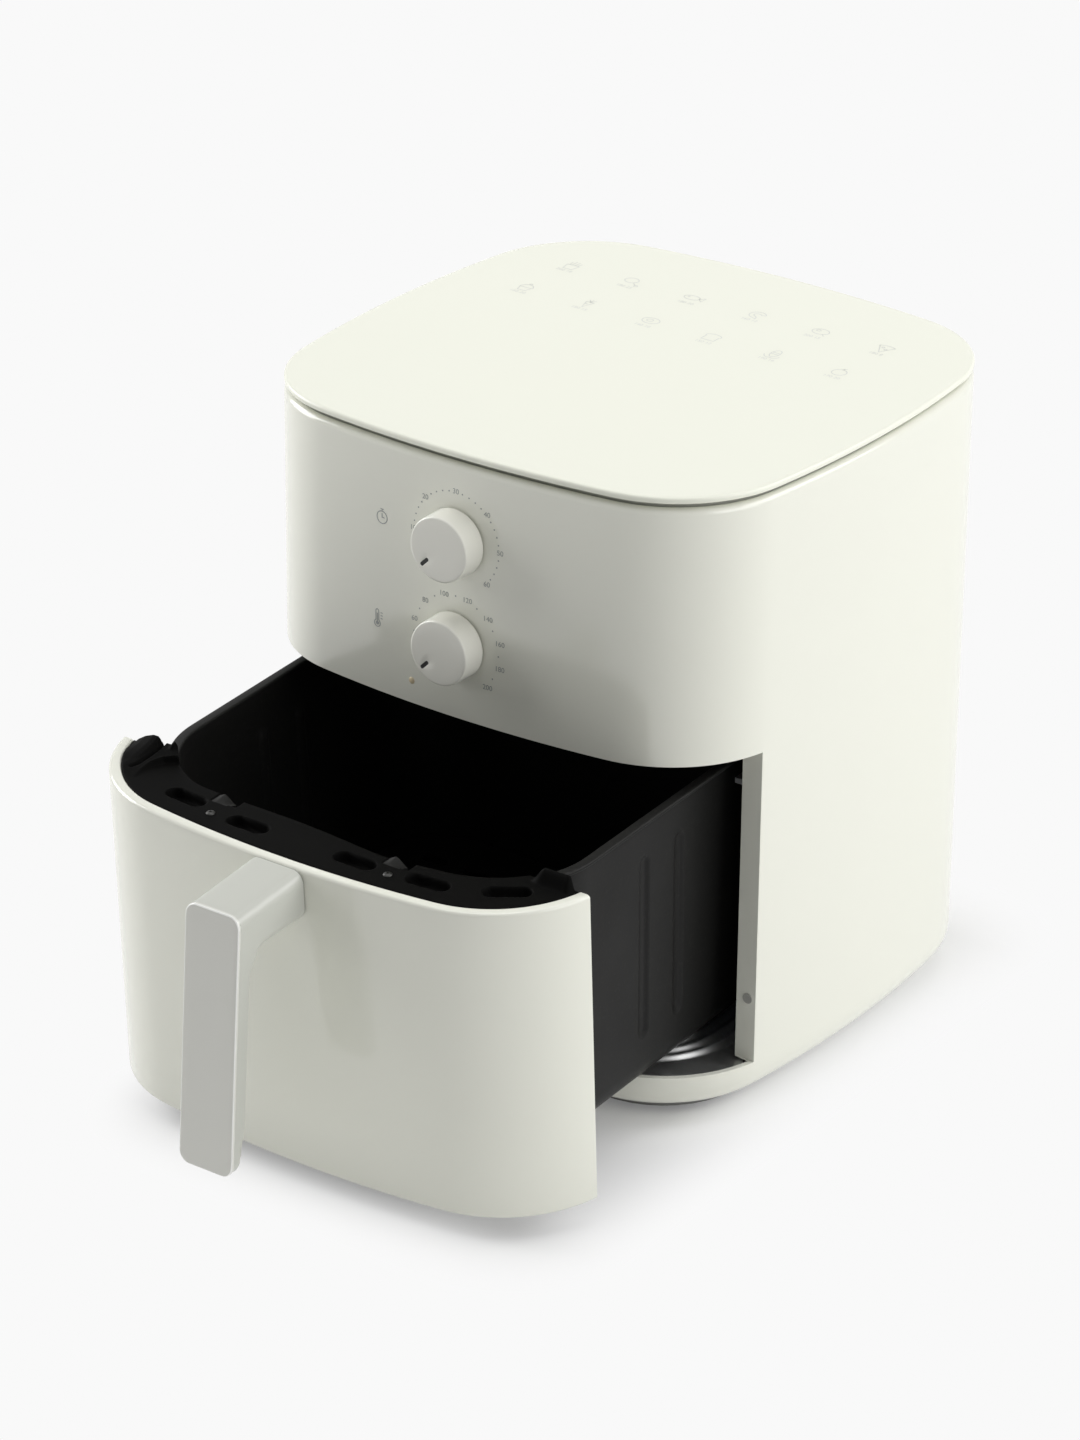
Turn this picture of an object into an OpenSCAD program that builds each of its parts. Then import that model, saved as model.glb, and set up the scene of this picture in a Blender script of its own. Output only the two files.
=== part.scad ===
// Basket air fryer with two dials and a pull-out drawer.
// Frame: +Z up, the front faces -Y, and the origin is on the ground under the middle of the housing.
// Every drawer piece is drawn in its closed place and is then moved to the half-open rest position.

/* [Body] */
// Width of the housing, side to side
body_w = 264; // [256:1:272]
// Depth of the housing, front to back
body_d = 259; // [254:1:266]
// Height of the top plate above the ground
body_h = 305; // [300:1:320]
// Radius of the four upright corners
corner_r = 59; // [50:1:64]
// Radius of the slight bow of each of the four sides
side_bow_r = 580; // [450:10:900]
// Thickness of the moulded skin
wall_t = 2.6; // [2:0.1:3]
// Radius of the rounded bottom edge
bottom_round = 13; // [10:1:14]
// Gap between the ground and the skin
foot_h = 5.5; // [5:0.5:8]

/* [Top] */
// Thickness of the top plate
top_plate_t = 2.8; // [2.4:0.1:3.4]
// Height of the shadow gap under the top plate
top_gap = 2.6; // [2:0.1:3]

/* [Drawer opening] */
// Height of the sill's upper edge
sill_top = 26.8; // [26:0.1:27.2]
// Height of the upper front's lower edge
opening_top = 179.5; // [179:0.5:181]
// How far the side walls' front faces lie in front of the middle
cheek_reach = 77.5; // [76:0.5:79]
// Clear width of the cooking chamber
chamber_w = 233; // [231:1:235]
// How far the chamber reaches behind the middle
chamber_back = 112; // [110:1:114]

/* [Drawer] */
// Gap around the closed drawer front
seam = 1.4; // [1:0.1:1.6]
// Thickness of the drawer front at its rim
front_t = 5.5; // [4.5:0.1:6]
// Width of the basket over its rim
basket_w = 219; // [216:1:220]
// Radius of the basket's upright corners
basket_corner_r = 45; // [38:1:48]
// Height of the basket's underside with the drawer closed
basket_bottom = 39.2; // [39:0.1:42]
// Thickness of the basket's sheet
basket_t = 1.6; // [1.2:0.1:2]
// Width of the handle's grip
handle_w = 29; // [24:1:32]
// Thickness of the handle's grip
handle_t = 10; // [8:0.5:12]

/* [Drawer position] */
// Distance that the drawer is pulled out at rest
pull = 125.6; // [0:0.1:176]
// Longest distance that the drawer runs on its rails
pull_max = 176; // [150:1:176]
// Nose-down lean of the drawer at a pull of 100 mm, in degrees
droop_rate = 2.61; // [1.5:0.01:2.7]
// Fall of the rails towards the front, in degrees
rail_slope = 2.77; // [1.8:0.01:2.8]

/* [Dials] */
// Diameter of both knobs
knob_d = 30.8; // [26:0.1:34]
// Depth of both knobs
knob_h = 12; // [9:0.5:14]
// Height of the timer dial
timer_z = 263.6; // [258:0.1:266]
// Height of the temperature dial
thermo_z = 214.8; // [212:0.1:218]

/* [Heater and fan] */
// Inner diameter of the heater shroud
shroud_d = 168; // [162:2:168]
// Diameter of the hot-air fan
fan_d = 128; // [100:2:132]
// Diameter of the cooling fan
cooling_fan_d = 88; // [70:2:90]
// Diameter of the heating tube
coil_tube_d = 6.5; // [6:0.1:7]

/* [Hidden] */
$fn = 64;

half_w = body_w / 2;
half_d = body_d / 2;
eps = 0.01;
far = 400;                                   // longer than anything that it cuts

// Levels of the housing
plate_z = body_h - top_plate_t;              // underside of the top plate
shell_top = plate_z - top_gap;
shoulder_r = 3.2;
ledge_w = 12;
base_t = 2;
soffit_z = 184.5;                            // underside of the ledge over the drawer front
soffit_t = 2.5;
sheet_t = 1.2;                               // steel sheet of the chamber
floor_z = 25;
floor_step = 2;
floor_steps = 3;
chamber_half = chamber_w / 2;
chamber_top = 184;
chamber_r = 29;                              // of the rear corners: it clears the housing's corners

// Drawer levels, all with the drawer closed
front_z0 = sill_top + seam;
front_z1 = opening_top - seam;
rim_z = 177;
rim_t = 1.6;
rim_lip = 3.6;
basket_half = basket_w / 2;
basket_front = 98;
basket_back = 106;
basket_draft = 3.4;
basket_foot_r = 14;
lip_back_r = 12;                             // the rim's rear corners are squarer than the basket's
frame_z0 = 172;
frame_z1 = rim_z - rim_t;
lobe_r = 6.5;
lobe_z = frame_z0 + 0.6;
lobe_x = 110;
slot_len = 20;
slot_wid = 8;

// Drawer motion: slide along the sloping rails, and lean about the rear rim
hinge_y = 84;
hinge_z = 176.2;
pulled = min(pull, pull_max);
droop = droop_rate * pulled / 100;
slide_y = pulled * cos(rail_slope);
slide_z = pulled * sin(rail_slope);

// Handle profile, in the plane of Y and Z
arm_z1 = front_z1 - 0.4;
arm_z0 = 154.5;
grip_top = 175.5;
grip_low = 55.5;
grip_reach_top = 173;
grip_reach_low = 188;
face_t = 1.6;

// Dials
knob_gap = 0.7;
spindle_r = 3;
bore_r = 3.08;
unit_y = -122;                               // face of both dial units against their bracket
bracket_t = 1.5;
dial_plate_y = unit_y - bracket_t;
pointer_deg = 225;

// Heater and fan stack
fan_y = 15;
shroud_r = shroud_d / 2;
shroud_t = 1;
shroud_z0 = chamber_top + sheet_t;
shroud_z1 = 224;
coil_z = 193;
fan_plate_z = 216;
fan_low_z = 203;
cooling_z = 231;
bracket_z = 245.5;
motor_z0 = 248;
motor_z1 = 284;
shaft_r = 3;

steel = "lightgray";
white = "ivory";
black = [0.07, 0.07, 0.07];

// ---- outlines and lofts ----

// Centre of a corner arc: it touches both bowed sides from the inside
bow_x = side_bow_r - half_w;
bow_y = side_bow_r - half_d;
bow_d = norm([bow_x, bow_y]);
bow_h = sqrt(pow(side_bow_r - corner_r, 2) - bow_d * bow_d / 4);
corner_x = -bow_x / 2 + bow_h * bow_y / bow_d;
corner_y = -bow_y / 2 + bow_h * bow_x / bow_d;
corner_a0 = atan2(corner_y, corner_x + bow_x);
corner_a1 = atan2(corner_y + bow_y, corner_x);

// Points of an arc, without its last one
function arc(cx, cy, r, a0, a1, n) =
    [for (k = [0:n - 1]) let (a = a0 + (a1 - a0) * k / n) [cx + r * cos(a), cy + r * sin(a)]];
function flip(pts, sx, sy) = [for (k = [len(pts) - 1:-1:0]) [pts[k][0] * sx, pts[k][1] * sy]];
function quarter(inset) = concat(
    arc(-bow_x, 0, side_bow_r - inset, 0, corner_a0, 4),
    arc(corner_x, corner_y, corner_r - inset, corner_a0, corner_a1, 8),
    arc(0, -bow_y, side_bow_r - inset, corner_a1, 90, 4));
function turned(pts) = [for (p = pts) [-p[0], -p[1]]];
// The housing's outline: bowed sides, round corners, drawn in by inset
function body_outline(inset) = let (q = quarter(inset),
    top = [0, side_bow_r - inset - bow_y],
    left = flip([for (k = [1:len(q) - 1]) q[k]], -1, 1),
    half = concat(q, [top], left)) concat(half, turned(half));
// A round-cornered box outline from y0 to y1, with its own front and back radius
function box_outline(half, y0, y1, r0, r1, n = 8) = concat(
    arc(half - r0, y0 + r0, r0, -90, 0, n), [[half, y0 + r0]],
    arc(half - r1, y1 - r1, r1, 0, 90, n), [[half - r1, y1]],
    arc(-half + r1, y1 - r1, r1, 90, 180, n), [[-half, y1 - r1]],
    arc(-half + r0, y0 + r0, r0, 180, 270, n), [[-half + r0, y0]]);
function basket_outline(inset) = box_outline(basket_half - inset, -basket_front + inset,
    basket_back - inset, basket_corner_r - inset, basket_corner_r - inset);

// A closed solid through rings of points, each given as [points, height]
module loft(rings) {
    n = len(rings[0][0]);
    m = len(rings);
    points = [for (ring = rings) for (p = ring[0]) [p[0], p[1], ring[1]]];
    sides = [for (j = [0:m - 2]) for (k = [0:n - 1]) let (l = (k + 1) % n)
        [j * n + k, (j + 1) * n + k, (j + 1) * n + l, j * n + l]];
    low_cap = [for (k = [0:n - 1]) k];
    high_cap = [for (k = [n - 1:-1:0]) (m - 1) * n + k];
    polyhedron(points, concat([low_cap], sides, [high_cap]), convexity = 6);
}
// Insets and heights of a quarter-round edge, from the flat inward side to the upright wall
function edge_rings(r, z, dir, n, base = 0) =
    [for (k = [0:n]) let (a = 90 * k / n) [base + r * (1 - sin(a)), z + dir * r * (1 - cos(a))]];
module body_slab(inset, z0, z1) {
    translate([0, 0, z0]) linear_extrude(z1 - z0) polygon(body_outline(inset));
}
module body_ring(inset0, inset1, z0, z1) {
    difference() {
        body_slab(inset0, z0, z1);
        body_slab(inset1, z0 - 1, z1 + 1);
    }
}
module box_slab(pts, z0, z1) {
    translate([0, 0, z0]) linear_extrude(z1 - z0) polygon(pts);
}
module block(x0, x1, y0, y1, z0, z1) {
    translate([x0, y0, z0]) cube([x1 - x0, y1 - y0, z1 - z0]);
}
// A round bar along Y, towards the back
module bar_y(x, y0, y1, z, r) {
    translate([x, y0, z]) rotate([-90, 0, 0]) cylinder(h = y1 - y0, r = r);
}
module bar_z(x, y, z0, z1, r) {
    translate([x, y, z0]) cylinder(h = z1 - z0, r = r);
}
module both_sides() {
    children();
    mirror([1, 0, 0]) children();
}
// A long hole with round ends, along X
module slot_hole(x, y, z0, z1, length, width) {
    bar_z(x - (length - width) / 2, y, z0, z1, width / 2);
    bar_z(x + (length - width) / 2, y, z0, z1, width / 2);
    block(x - (length - width) / 2, x + (length - width) / 2, y - width / 2, y + width / 2, z0, z1);
}
// The drawer's way from closed to its rest position
module on_rails() {
    translate([0, -slide_y, -slide_z]) children();
}
module on_drawer() {
    on_rails() translate([0, hinge_y, hinge_z]) rotate([droop, 0, 0])
        translate([0, -hinge_y, -hinge_z]) children();
}

// ---- housing ----

function shell_levels(t) = concat(
    edge_rings(bottom_round - t, foot_h + t, 1, 4, t),
    [[t, shell_top - shoulder_r]],
    t > 0 ? [[t, shell_top + 1]] :
        [for (k = [1:3]) [shoulder_r * (1 - cos(30 * k)), shell_top - shoulder_r + shoulder_r * sin(30 * k)]]);
module shell_skin() {
    difference() {
        loft([for (l = shell_levels(0)) [body_outline(l[0]), l[1]]]);
        loft([for (l = shell_levels(wall_t)) [body_outline(l[0]), l[1]]]);
        body_slab(bottom_round + 9, 0, foot_h + wall_t + 1);
        block(-far, far, -far, -cheek_reach, sill_top, opening_top);
    }
}
gland_x = -72;
gland_z = 62;
gland_y = 124.4;                             // the back wall's place beside the gland
grille_half = 52;
grille_z0 = 200;
grille_z1 = 256;
lamp_x = -24.2;
lamp_z = 190.3;
lens_r = 1.7;
cheek_t = 2.5;
cheek_screw_x = 122.5;
cheek_screw_z = 57.6;
switch_x = lobe_x;
switch_y = -87;
plunger_r = 2;
module outer_shell() {
    color(white) difference() {
        union() {
            shell_skin();
            body_ring(wall_t - 0.2, ledge_w, shell_top - shoulder_r - 2, shell_top - shoulder_r);
            body_ring(wall_t - 0.2, 4.2, shell_top - shoulder_r - eps, shell_top - 0.6);
            difference() {
                body_slab(wall_t - 0.2, soffit_z, soffit_z + soffit_t);
                block(-far, far, -cheek_reach + cheek_t, far, 0, far);
            }
            difference() {
                body_slab(wall_t - 0.2, sill_top, soffit_z + 1);
                block(-far, far, -cheek_reach + cheek_t, far, 0, far);
                block(-far, far, -far, -cheek_reach, 0, far);
                block(-chamber_half, chamber_half, -far, far, 0, far);
            }
        }
        for (z = [timer_z, thermo_z]) bar_y(0, -far / 2, unit_y, z, spindle_r + 1);
        bar_y(lamp_x, -far / 2, unit_y, lamp_z, lens_r + 0.05);
        bar_y(gland_x, 100, 200, gland_z, 6);
        bar_y(gland_x, gland_y + 1.1, 200, gland_z, 8.8);
        block(-grille_half, grille_half, half_d - 12, far, grille_z0, grille_z1);
        both_sides() bar_y(cheek_screw_x, -cheek_reach - 1, -cheek_reach + 9, cheek_screw_z, 1.5);
        bar_z(switch_x, switch_y, soffit_z - 1, soffit_z + 9, plunger_r + 0.3);
    }
}
module top_plate() {
    color("honeydew") union() {
        loft([[body_outline(0.9), plate_z], [body_outline(0.1), plate_z + 0.7],
            [body_outline(0), plate_z + 1.4], [body_outline(0.3), body_h - 0.5],
            [body_outline(1.1), body_h]]);
        body_ring(ledge_w + 0.6, ledge_w + 2.6, shell_top - shoulder_r - 6, plate_z + 0.2);
    }
}
module top_seal() {
    color("dimgray") body_ring(4.4, ledge_w - 1, shell_top - shoulder_r, plate_z);
}
base_inset = bottom_round + 4;
foot_xy = 84;
foot_r = 10;
post_xy = 66;
base_z0 = foot_h - base_t;
liner_z0 = 18.6;
module base_plate() {
    color("gray") difference() {
        union() {
            body_slab(base_inset, base_z0, foot_h);
            for (x = [-post_xy, post_xy], y = [-post_xy, post_xy])
                bar_z(x, y, foot_h - eps, floor_under, 5);
        }
        for (x = [-post_xy, post_xy], y = [-post_xy, post_xy]) bar_z(x, y, 0, 16, 1.6);
        for (x = [-42:12:42]) slot_hole(x, 96, 0, foot_h + 1, 8, 4);
        for (x = [-42:12:42]) slot_hole(x, -96, 0, foot_h + 1, 8, 4);
    }
}
module feet() {
    color("dimgray") for (x = [-foot_xy, foot_xy], y = [-foot_xy, foot_xy])
        translate([x, y, 0]) rotate_extrude()
            polygon([[0, 0], [foot_r - 1, 0], [foot_r, 1], [foot_r, base_z0], [0, base_z0]]);
}
module base_screws() {
    color("silver") for (x = [-post_xy, post_xy], y = [-post_xy, post_xy]) {
        bar_z(x, y, base_z0 - 1.4, base_z0, 3.6);
        bar_z(x, y, base_z0 - 0.2, 14, 1.45);
    }
}
module cheek_screws() {
    color("silver") both_sides() {
        bar_y(cheek_screw_x, -cheek_reach - 0.4, -cheek_reach, cheek_screw_z, 2.4);
        bar_y(cheek_screw_x, -cheek_reach - 0.2, -cheek_reach + 7, cheek_screw_z, 1.4);
    }
}

// ---- cooking chamber ----

liner_y0 = -cheek_reach + cheek_t;
function liner_outline(out) = box_outline(chamber_half + out, -chamber_back, chamber_back + out, 8,
    chamber_r + out);
module chamber_liner() {
    color(black) difference() {
        box_slab(liner_outline(sheet_t), liner_z0, chamber_top);
        box_slab(liner_outline(0), liner_z0 - 1, chamber_top + 1);
        block(-far, far, -far, liner_y0, 0, far);
    }
}
function dish_outline(inset) = box_outline(106 - inset, -103 + inset, 104 - inset, 48 - inset, 48 - inset);
floor_under = floor_z - floor_steps * floor_step - sheet_t;
module floor_plate() {
    color(steel) difference() {
        union() {
            intersection() {
                body_slab(wall_t + 0.1, floor_z - sheet_t, floor_z);
                union() {
                    box_slab(liner_outline(-0.1), floor_z - sheet_t, floor_z);
                    block(-far, far, -far, liner_y0, floor_z - sheet_t, floor_z);
                }
            }
            box_slab(dish_outline(-sheet_t), floor_under, floor_z - sheet_t + eps);
        }
        for (k = [0:floor_steps - 1])
            box_slab(dish_outline(5 * k), floor_z - (k + 1) * floor_step, floor_z + 1);
    }
}
rail_in = 111;
rail_top = 169.6;                            // under the glides of the closed drawer
rail_t = 2.5;
module drawer_rails() {
    color(black) both_sides() intersection() {
        translate([0, hinge_y, rail_top]) rotate([rail_slope, 0, 0])
            block(rail_in, chamber_half, -far, far, -rail_t, 0);
        box_slab(liner_outline(0), 0, far);
        block(0, far, liner_y0, hinge_y + glide_len / 2 + 2, 0, far);
    }
}
module ceiling_plate() {
    color(steel) difference() {
        box_slab(liner_outline(sheet_t), chamber_top, chamber_top + sheet_t);
        block(-far, far, -far, liner_y0, 0, far);
        bar_z(0, fan_y, 0, far, shroud_r - 2);
        bar_z(capillary_x, capillary_y, 0, far, 1.6);
    }
}

// ---- heater and fan ----

lead_r = 75;
module heater_shroud() {
    color("silver") difference() {
        translate([0, fan_y, 0]) rotate_extrude() polygon([[shroud_r, shroud_z0],
            [shroud_r + 5, shroud_z0], [shroud_r + 5, shroud_z0 + shroud_t],
            [shroud_r + shroud_t, shroud_z0 + shroud_t], [shroud_r + shroud_t, shroud_z1 - 5],
            [shroud_r - 4, shroud_z1], [4.5, shroud_z1], [4.5, shroud_z1 - shroud_t],
            [shroud_r - 4.4, shroud_z1 - shroud_t], [shroud_r, shroud_z1 - 5.4]]);
        for (x = [-8, 8]) bar_z(x, fan_y + lead_r, 200, 240, coil_tube_d / 2 + 0.05);
    }
}
module tube_ring(r) {
    rotate_extrude() translate([r, 0]) circle(d = coil_tube_d);
}
module heater_coil() {
    color("dimgray") {
        translate([0, fan_y, coil_z]) {
            tube_ring(74);
            tube_ring(58);
            translate([58, 0, 0]) rotate([0, 90, 0]) cylinder(h = 16, d = coil_tube_d - 1);
        }
        for (x = [-8, 8]) {
            bar_y(x, fan_y + 74, fan_y + lead_r, coil_z, coil_tube_d / 2 - 0.4);
            bar_z(x, fan_y + lead_r, coil_z - coil_tube_d / 2, 234, coil_tube_d / 2);
        }
    }
}
module heater_clips() {
    color("silver") translate([0, fan_y, 0]) for (a = [30, 150, 270]) rotate([0, 0, a]) {
        block(74 + coil_tube_d / 2 - 1, shroud_r - 0.1, -4, 4, coil_z - 6, coil_z - 4.8);
        block(54, 75 + coil_tube_d / 2, -4, 4, coil_z - coil_tube_d / 2 - 2.8, coil_z - coil_tube_d / 2);
    }
}
module motor_shaft() {
    color("gainsboro") bar_z(0, fan_y, 198, 287, shaft_r);
}
module blades(count, r0, r1, z0, z1, thick, sweep) {
    for (k = [0:count - 1]) rotate([0, 0, 360 * k / count]) translate([r0, 0, z0])
        rotate([0, 0, sweep]) cube([(r1 - r0) / cos(sweep) - 1, thick, z1 - z0]);
}
module hot_air_fan() {
    color("silver") translate([0, fan_y, 0]) difference() {
        union() {
            bar_z(0, 0, fan_plate_z, fan_plate_z + 1, fan_d / 2);
            bar_z(0, 0, fan_low_z, fan_plate_z, 9);
            blades(12, 24, fan_d / 2 - 2, fan_low_z, fan_plate_z + 0.2, 1, 20);
        }
        bar_z(0, 0, 190, 240, shaft_r);
    }
}
module fan_nut() {
    color("silver") translate([0, fan_y, fan_low_z - 5]) difference() {
        cylinder(h = 5, r = 6, $fn = 6);
        translate([0, 0, -1]) cylinder(h = 7, r = shaft_r + 0.02);
    }
}
module cooling_fan() {
    color("gray") translate([0, fan_y, 0]) difference() {
        union() {
            bar_z(0, 0, cooling_z, cooling_z + 1.4, cooling_fan_d / 2);
            bar_z(0, 0, cooling_z, cooling_z + 10, 8);
            blades(9, 12, cooling_fan_d / 2 - 1, cooling_z + 1, cooling_z + 10, 1.2, 15);
        }
        bar_z(0, 0, 220, 250, shaft_r);
    }
}
motor_r = 30;
stand_r = 54;
module motor_bracket() {
    color(steel) translate([0, fan_y, 0]) difference() {
        union() {
            bar_z(0, 0, bracket_z, motor_z0, stand_r + 5);
            for (a = [45:90:315]) rotate([0, 0, a]) bar_z(stand_r, 0, shroud_z1, bracket_z + 1, 4);
        }
        bar_z(0, 0, 240, 250, 12);
        for (a = [0:90:270]) rotate([0, 0, a]) bar_z(42, 0, 240, 250, 9);
    }
}
module motor() {
    color("slategray") translate([0, fan_y, 0]) difference() {
        union() {
            bar_z(0, 0, motor_z0, motor_z0 + 8, 22);
            bar_z(0, 0, motor_z0 + 7, motor_z1 - 7, motor_r);
            bar_z(0, 0, motor_z1 - 8, motor_z1, 22);
        }
        bar_z(0, 0, 240, 290, shaft_r + 0.05);
    }
}
module thermal_fuse() {
    color("burlywood") {
        block(-68, -52, fan_y - 4, fan_y + 4, shroud_z1, shroud_z1 + 2);
        translate([-70, fan_y, shroud_z1 + 4.4]) rotate([0, 90, 0]) cylinder(h = 20, r = 2.5);
    }
}
duct_y0 = fan_y + shroud_r + 3;
module exhaust_duct() {
    color(steel) intersection() {
        difference() {
            block(-grille_half + 4, grille_half - 4, duct_y0, far, grille_z0 + 3, grille_z1 - 3);
            block(-grille_half + 5, grille_half - 5, duct_y0 - 1, far + 1, grille_z0 + 4, grille_z1 - 4);
        }
        body_slab(wall_t + 2, 0, body_h);
    }
}
module outlet_grille() {
    color(black) difference() {
        union() {
            intersection() {
                body_ring(0.6, wall_t, grille_z0 + 0.2, grille_z1 - 0.2);
                block(-grille_half + 0.2, grille_half - 0.2, 100, far, 0, far);
            }
            intersection() {
                body_ring(wall_t, wall_t + 2, grille_z0 - 4, grille_z1 + 4);
                block(-grille_half - 4, grille_half + 4, 100, far, 0, far);
            }
        }
        for (z = [grille_z0 + 8:6:grille_z1 - 8], x = [-24, 24])
            block(x - 20, x + 20, 100, far, z - 1.5, z + 1.5);
    }
}
module cord_gland() {
    color(black) translate([gland_x, gland_y, gland_z]) rotate([-90, 0, 0]) rotate_extrude()
        polygon([[3.8, -3.4], [5.8, -3.4], [5.8, 1.2], [8.6, 1.2], [8.6, 2.8], [6.4, 4.6], [3.8, 4.6]]);
}
module terminal_block() {
    color("whitesmoke") difference() {
        block(gland_x + 10, gland_x + 34, chamber_back + sheet_t, chamber_back + sheet_t + 8, 48, 76);
        for (z = [53, 62, 71]) bar_y(gland_x + 22, 100, 130, z, 2);
    }
}
// A cable as round bars through a list of points
module cable(points, r) {
    for (k = [0:len(points) - 2]) {
        step = points[k + 1] - points[k];
        length = norm(step);
        translate(points[k]) rotate([0, acos(step[2] / length), atan2(step[1], step[0])])
            cylinder(h = length, r = r);
    }
    for (k = [1:1:len(points) - 2]) translate(points[k]) sphere(r = r * 1.12);
}
wire_r = 1.5;
module wiring() {
    color("firebrick") {
        cable([[-58, 118, 76], [-58, 118, 286], [-58, -104, 286], [-34, -104, 268],
            [-22, -104, 268]], wire_r);
        cable([[-52, 118, 76], [-52, 118, 280], [-52, 60, 280], [-14, 20, 292],
            [-14, 20, motor_z1]], wire_r);
    }
}

// ---- controls ----

module control_bracket() {
    color(steel) difference() {
        union() {
            block(-34, 34, dial_plate_y, unit_y, 192, 286);
            for (x = [-30, 30], z = [236, 282]) bar_y(x, -125.6, unit_y, z, 4);
        }
        for (z = [timer_z, thermo_z]) bar_y(0, -130, -100, z, spindle_r + 1);
        bar_y(lamp_x, -130, -110, lamp_z, 3.5);
    }
}
module timer_unit() {
    color("whitesmoke") difference() {
        block(-22, 22, unit_y, unit_y + 26, timer_z - 20, timer_z + 20);
        bar_y(0, -130, unit_y + 22, timer_z, bore_r);
    }
}
module timer_bell() {
    color("silver") translate([0, unit_y + 26, timer_z]) rotate([-90, 0, 0]) rotate_extrude()
        polygon([[0, 0], [3, 0], [3, 5], [18, 1.4], [19, 1.4], [19, 2.4], [16, 5.4], [3, 7], [0, 7]]);
}
module spindle(z, y1) {
    difference() {
        bar_y(0, -half_d - knob_gap - knob_h + 3, y1, z, spindle_r);
        block(-5, 5, -150, -half_d - knob_gap, z + spindle_r - 1, z + 6);
    }
}
module timer_spindle() {
    color("silver") spindle(timer_z, unit_y + 21.6);
}
module thermostat_spindle() {
    color("silver") spindle(thermo_z, unit_y + 13.6);
}
// A hollow round knob with a hub on the spindle and a pointer groove at the lower left
module knob(z) {
    r = knob_d / 2;
    back = -half_d - knob_gap;
    face = back - knob_h;
    difference() {
        translate([0, back, z]) rotate([90, 0, 0]) rotate_extrude() polygon([[0, 2], [5, 2], [5, 0.6],
            [spindle_r + 2.4, 0], [spindle_r + 2.6, 0], [spindle_r + 2.6, knob_h - 2.2],
            [r - 2, knob_h - 2.2], [r - 2, 0], [r, 0], [r - 0.25, knob_h - 1], [r - 0.6, knob_h - 0.3],
            [r - 1.3, knob_h], [0, knob_h]]);
        bar_y(0, back - knob_h + 3, back + 1, z, spindle_r + 0.02);
        translate([0, face, z]) rotate([0, -pointer_deg, 0]) block(7.6, 12.6, -1, 0.5, -0.8, 0.8);
    }
}
module timer_knob() {
    color("mintcream") knob(timer_z);
}
module temperature_knob() {
    color("mintcream") knob(thermo_z);
}
module thermostat_unit() {
    color("tan") difference() {
        union() {
            bar_y(0, unit_y, unit_y + 3, thermo_z, 21);
            bar_y(0, unit_y + 2, unit_y + 20, thermo_z, 17);
        }
        bar_y(0, -130, unit_y + 14, thermo_z, bore_r);
    }
}
capillary_x = -62;
capillary_y = -72;
bulb_r = 2.2;
bulb_z = chamber_top - bulb_r;
module thermostat_bulb() {
    color("peru") {
        translate([capillary_x, capillary_y, bulb_z]) rotate([0, 90, 0]) cylinder(h = 42, r = bulb_r);
        cable([[capillary_x, capillary_y, bulb_z], [capillary_x, capillary_y, 200],
            [capillary_x, -112, 206], [-18.4, -112, thermo_z]], 1);
    }
}
module indicator_lens() {
    color("orange") {
        bar_y(lamp_x, -129.4, -125.6, lamp_z, lens_r);
        bar_y(lamp_x, -126, -125.2, lamp_z, lens_r + 1);
    }
}
module indicator_lamp() {
    color("whitesmoke") bar_y(lamp_x, -125.2, -114, lamp_z, 2.8);
}
module interlock_switch() {
    color(black) difference() {
        block(switch_x - 10, switch_x + 4, switch_y - 4, switch_y + 12, soffit_z + soffit_t, soffit_z + 14);
        bar_z(switch_x, switch_y, 180, soffit_z + 10, plunger_r + 0.3);
    }
}
plunger_z = lobe_z + lobe_r + 0.7;
module switch_plunger() {
    color("red") {
        bar_z(switch_x, switch_y, plunger_z, soffit_z + 6, plunger_r);
    }
}

// ---- drawer, drawn closed ----

basket_levels = [[rim_lip + basket_draft + basket_foot_r, basket_bottom],
    for (k = [1:3]) [rim_lip + basket_draft + basket_foot_r * (1 - sin(30 * k)),
        basket_bottom + basket_foot_r * (1 - cos(30 * k))],
    [rim_lip, frame_z1]];
function lip_outline() = box_outline(basket_half, -basket_front, basket_back, basket_corner_r, lip_back_r);
basket_hollow = [[rim_lip + basket_draft + basket_foot_r, basket_bottom + basket_t],
    for (k = [1:3]) [rim_lip + basket_draft + basket_t + (basket_foot_r - basket_t) * (1 - sin(30 * k)),
        basket_bottom + basket_t + (basket_foot_r - basket_t) * (1 - cos(30 * k))],
    [rim_lip + basket_t, rim_z + 1]];
module basket() {
    color(black) on_drawer() difference() {
        loft(concat([for (l = basket_levels) [basket_outline(l[0]), l[1]]],
            [[lip_outline(), frame_z1], [lip_outline(), rim_z]]));
        loft([for (l = basket_hollow) [basket_outline(l[0]), l[1]]]);
    }
}
front_y1 = -cheek_reach - seam;              // the drawer front's rear ends
front_skin_t = 3.2;                          // the drawer front's thickness under its rim
module drawer_front() {
    color(white) on_drawer() difference() {
        body_slab(0, front_z0, front_z1);
        body_slab(front_skin_t, front_z0 - 1, frame_z0 - 2);
        body_slab(front_t, frame_z0 - 3, front_z1 + 1);
        block(-far, far, front_y1, far, 0, far);
        bar_y(0, -140, -110, arm_z0 + 12, 2.2);
    }
}
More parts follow.
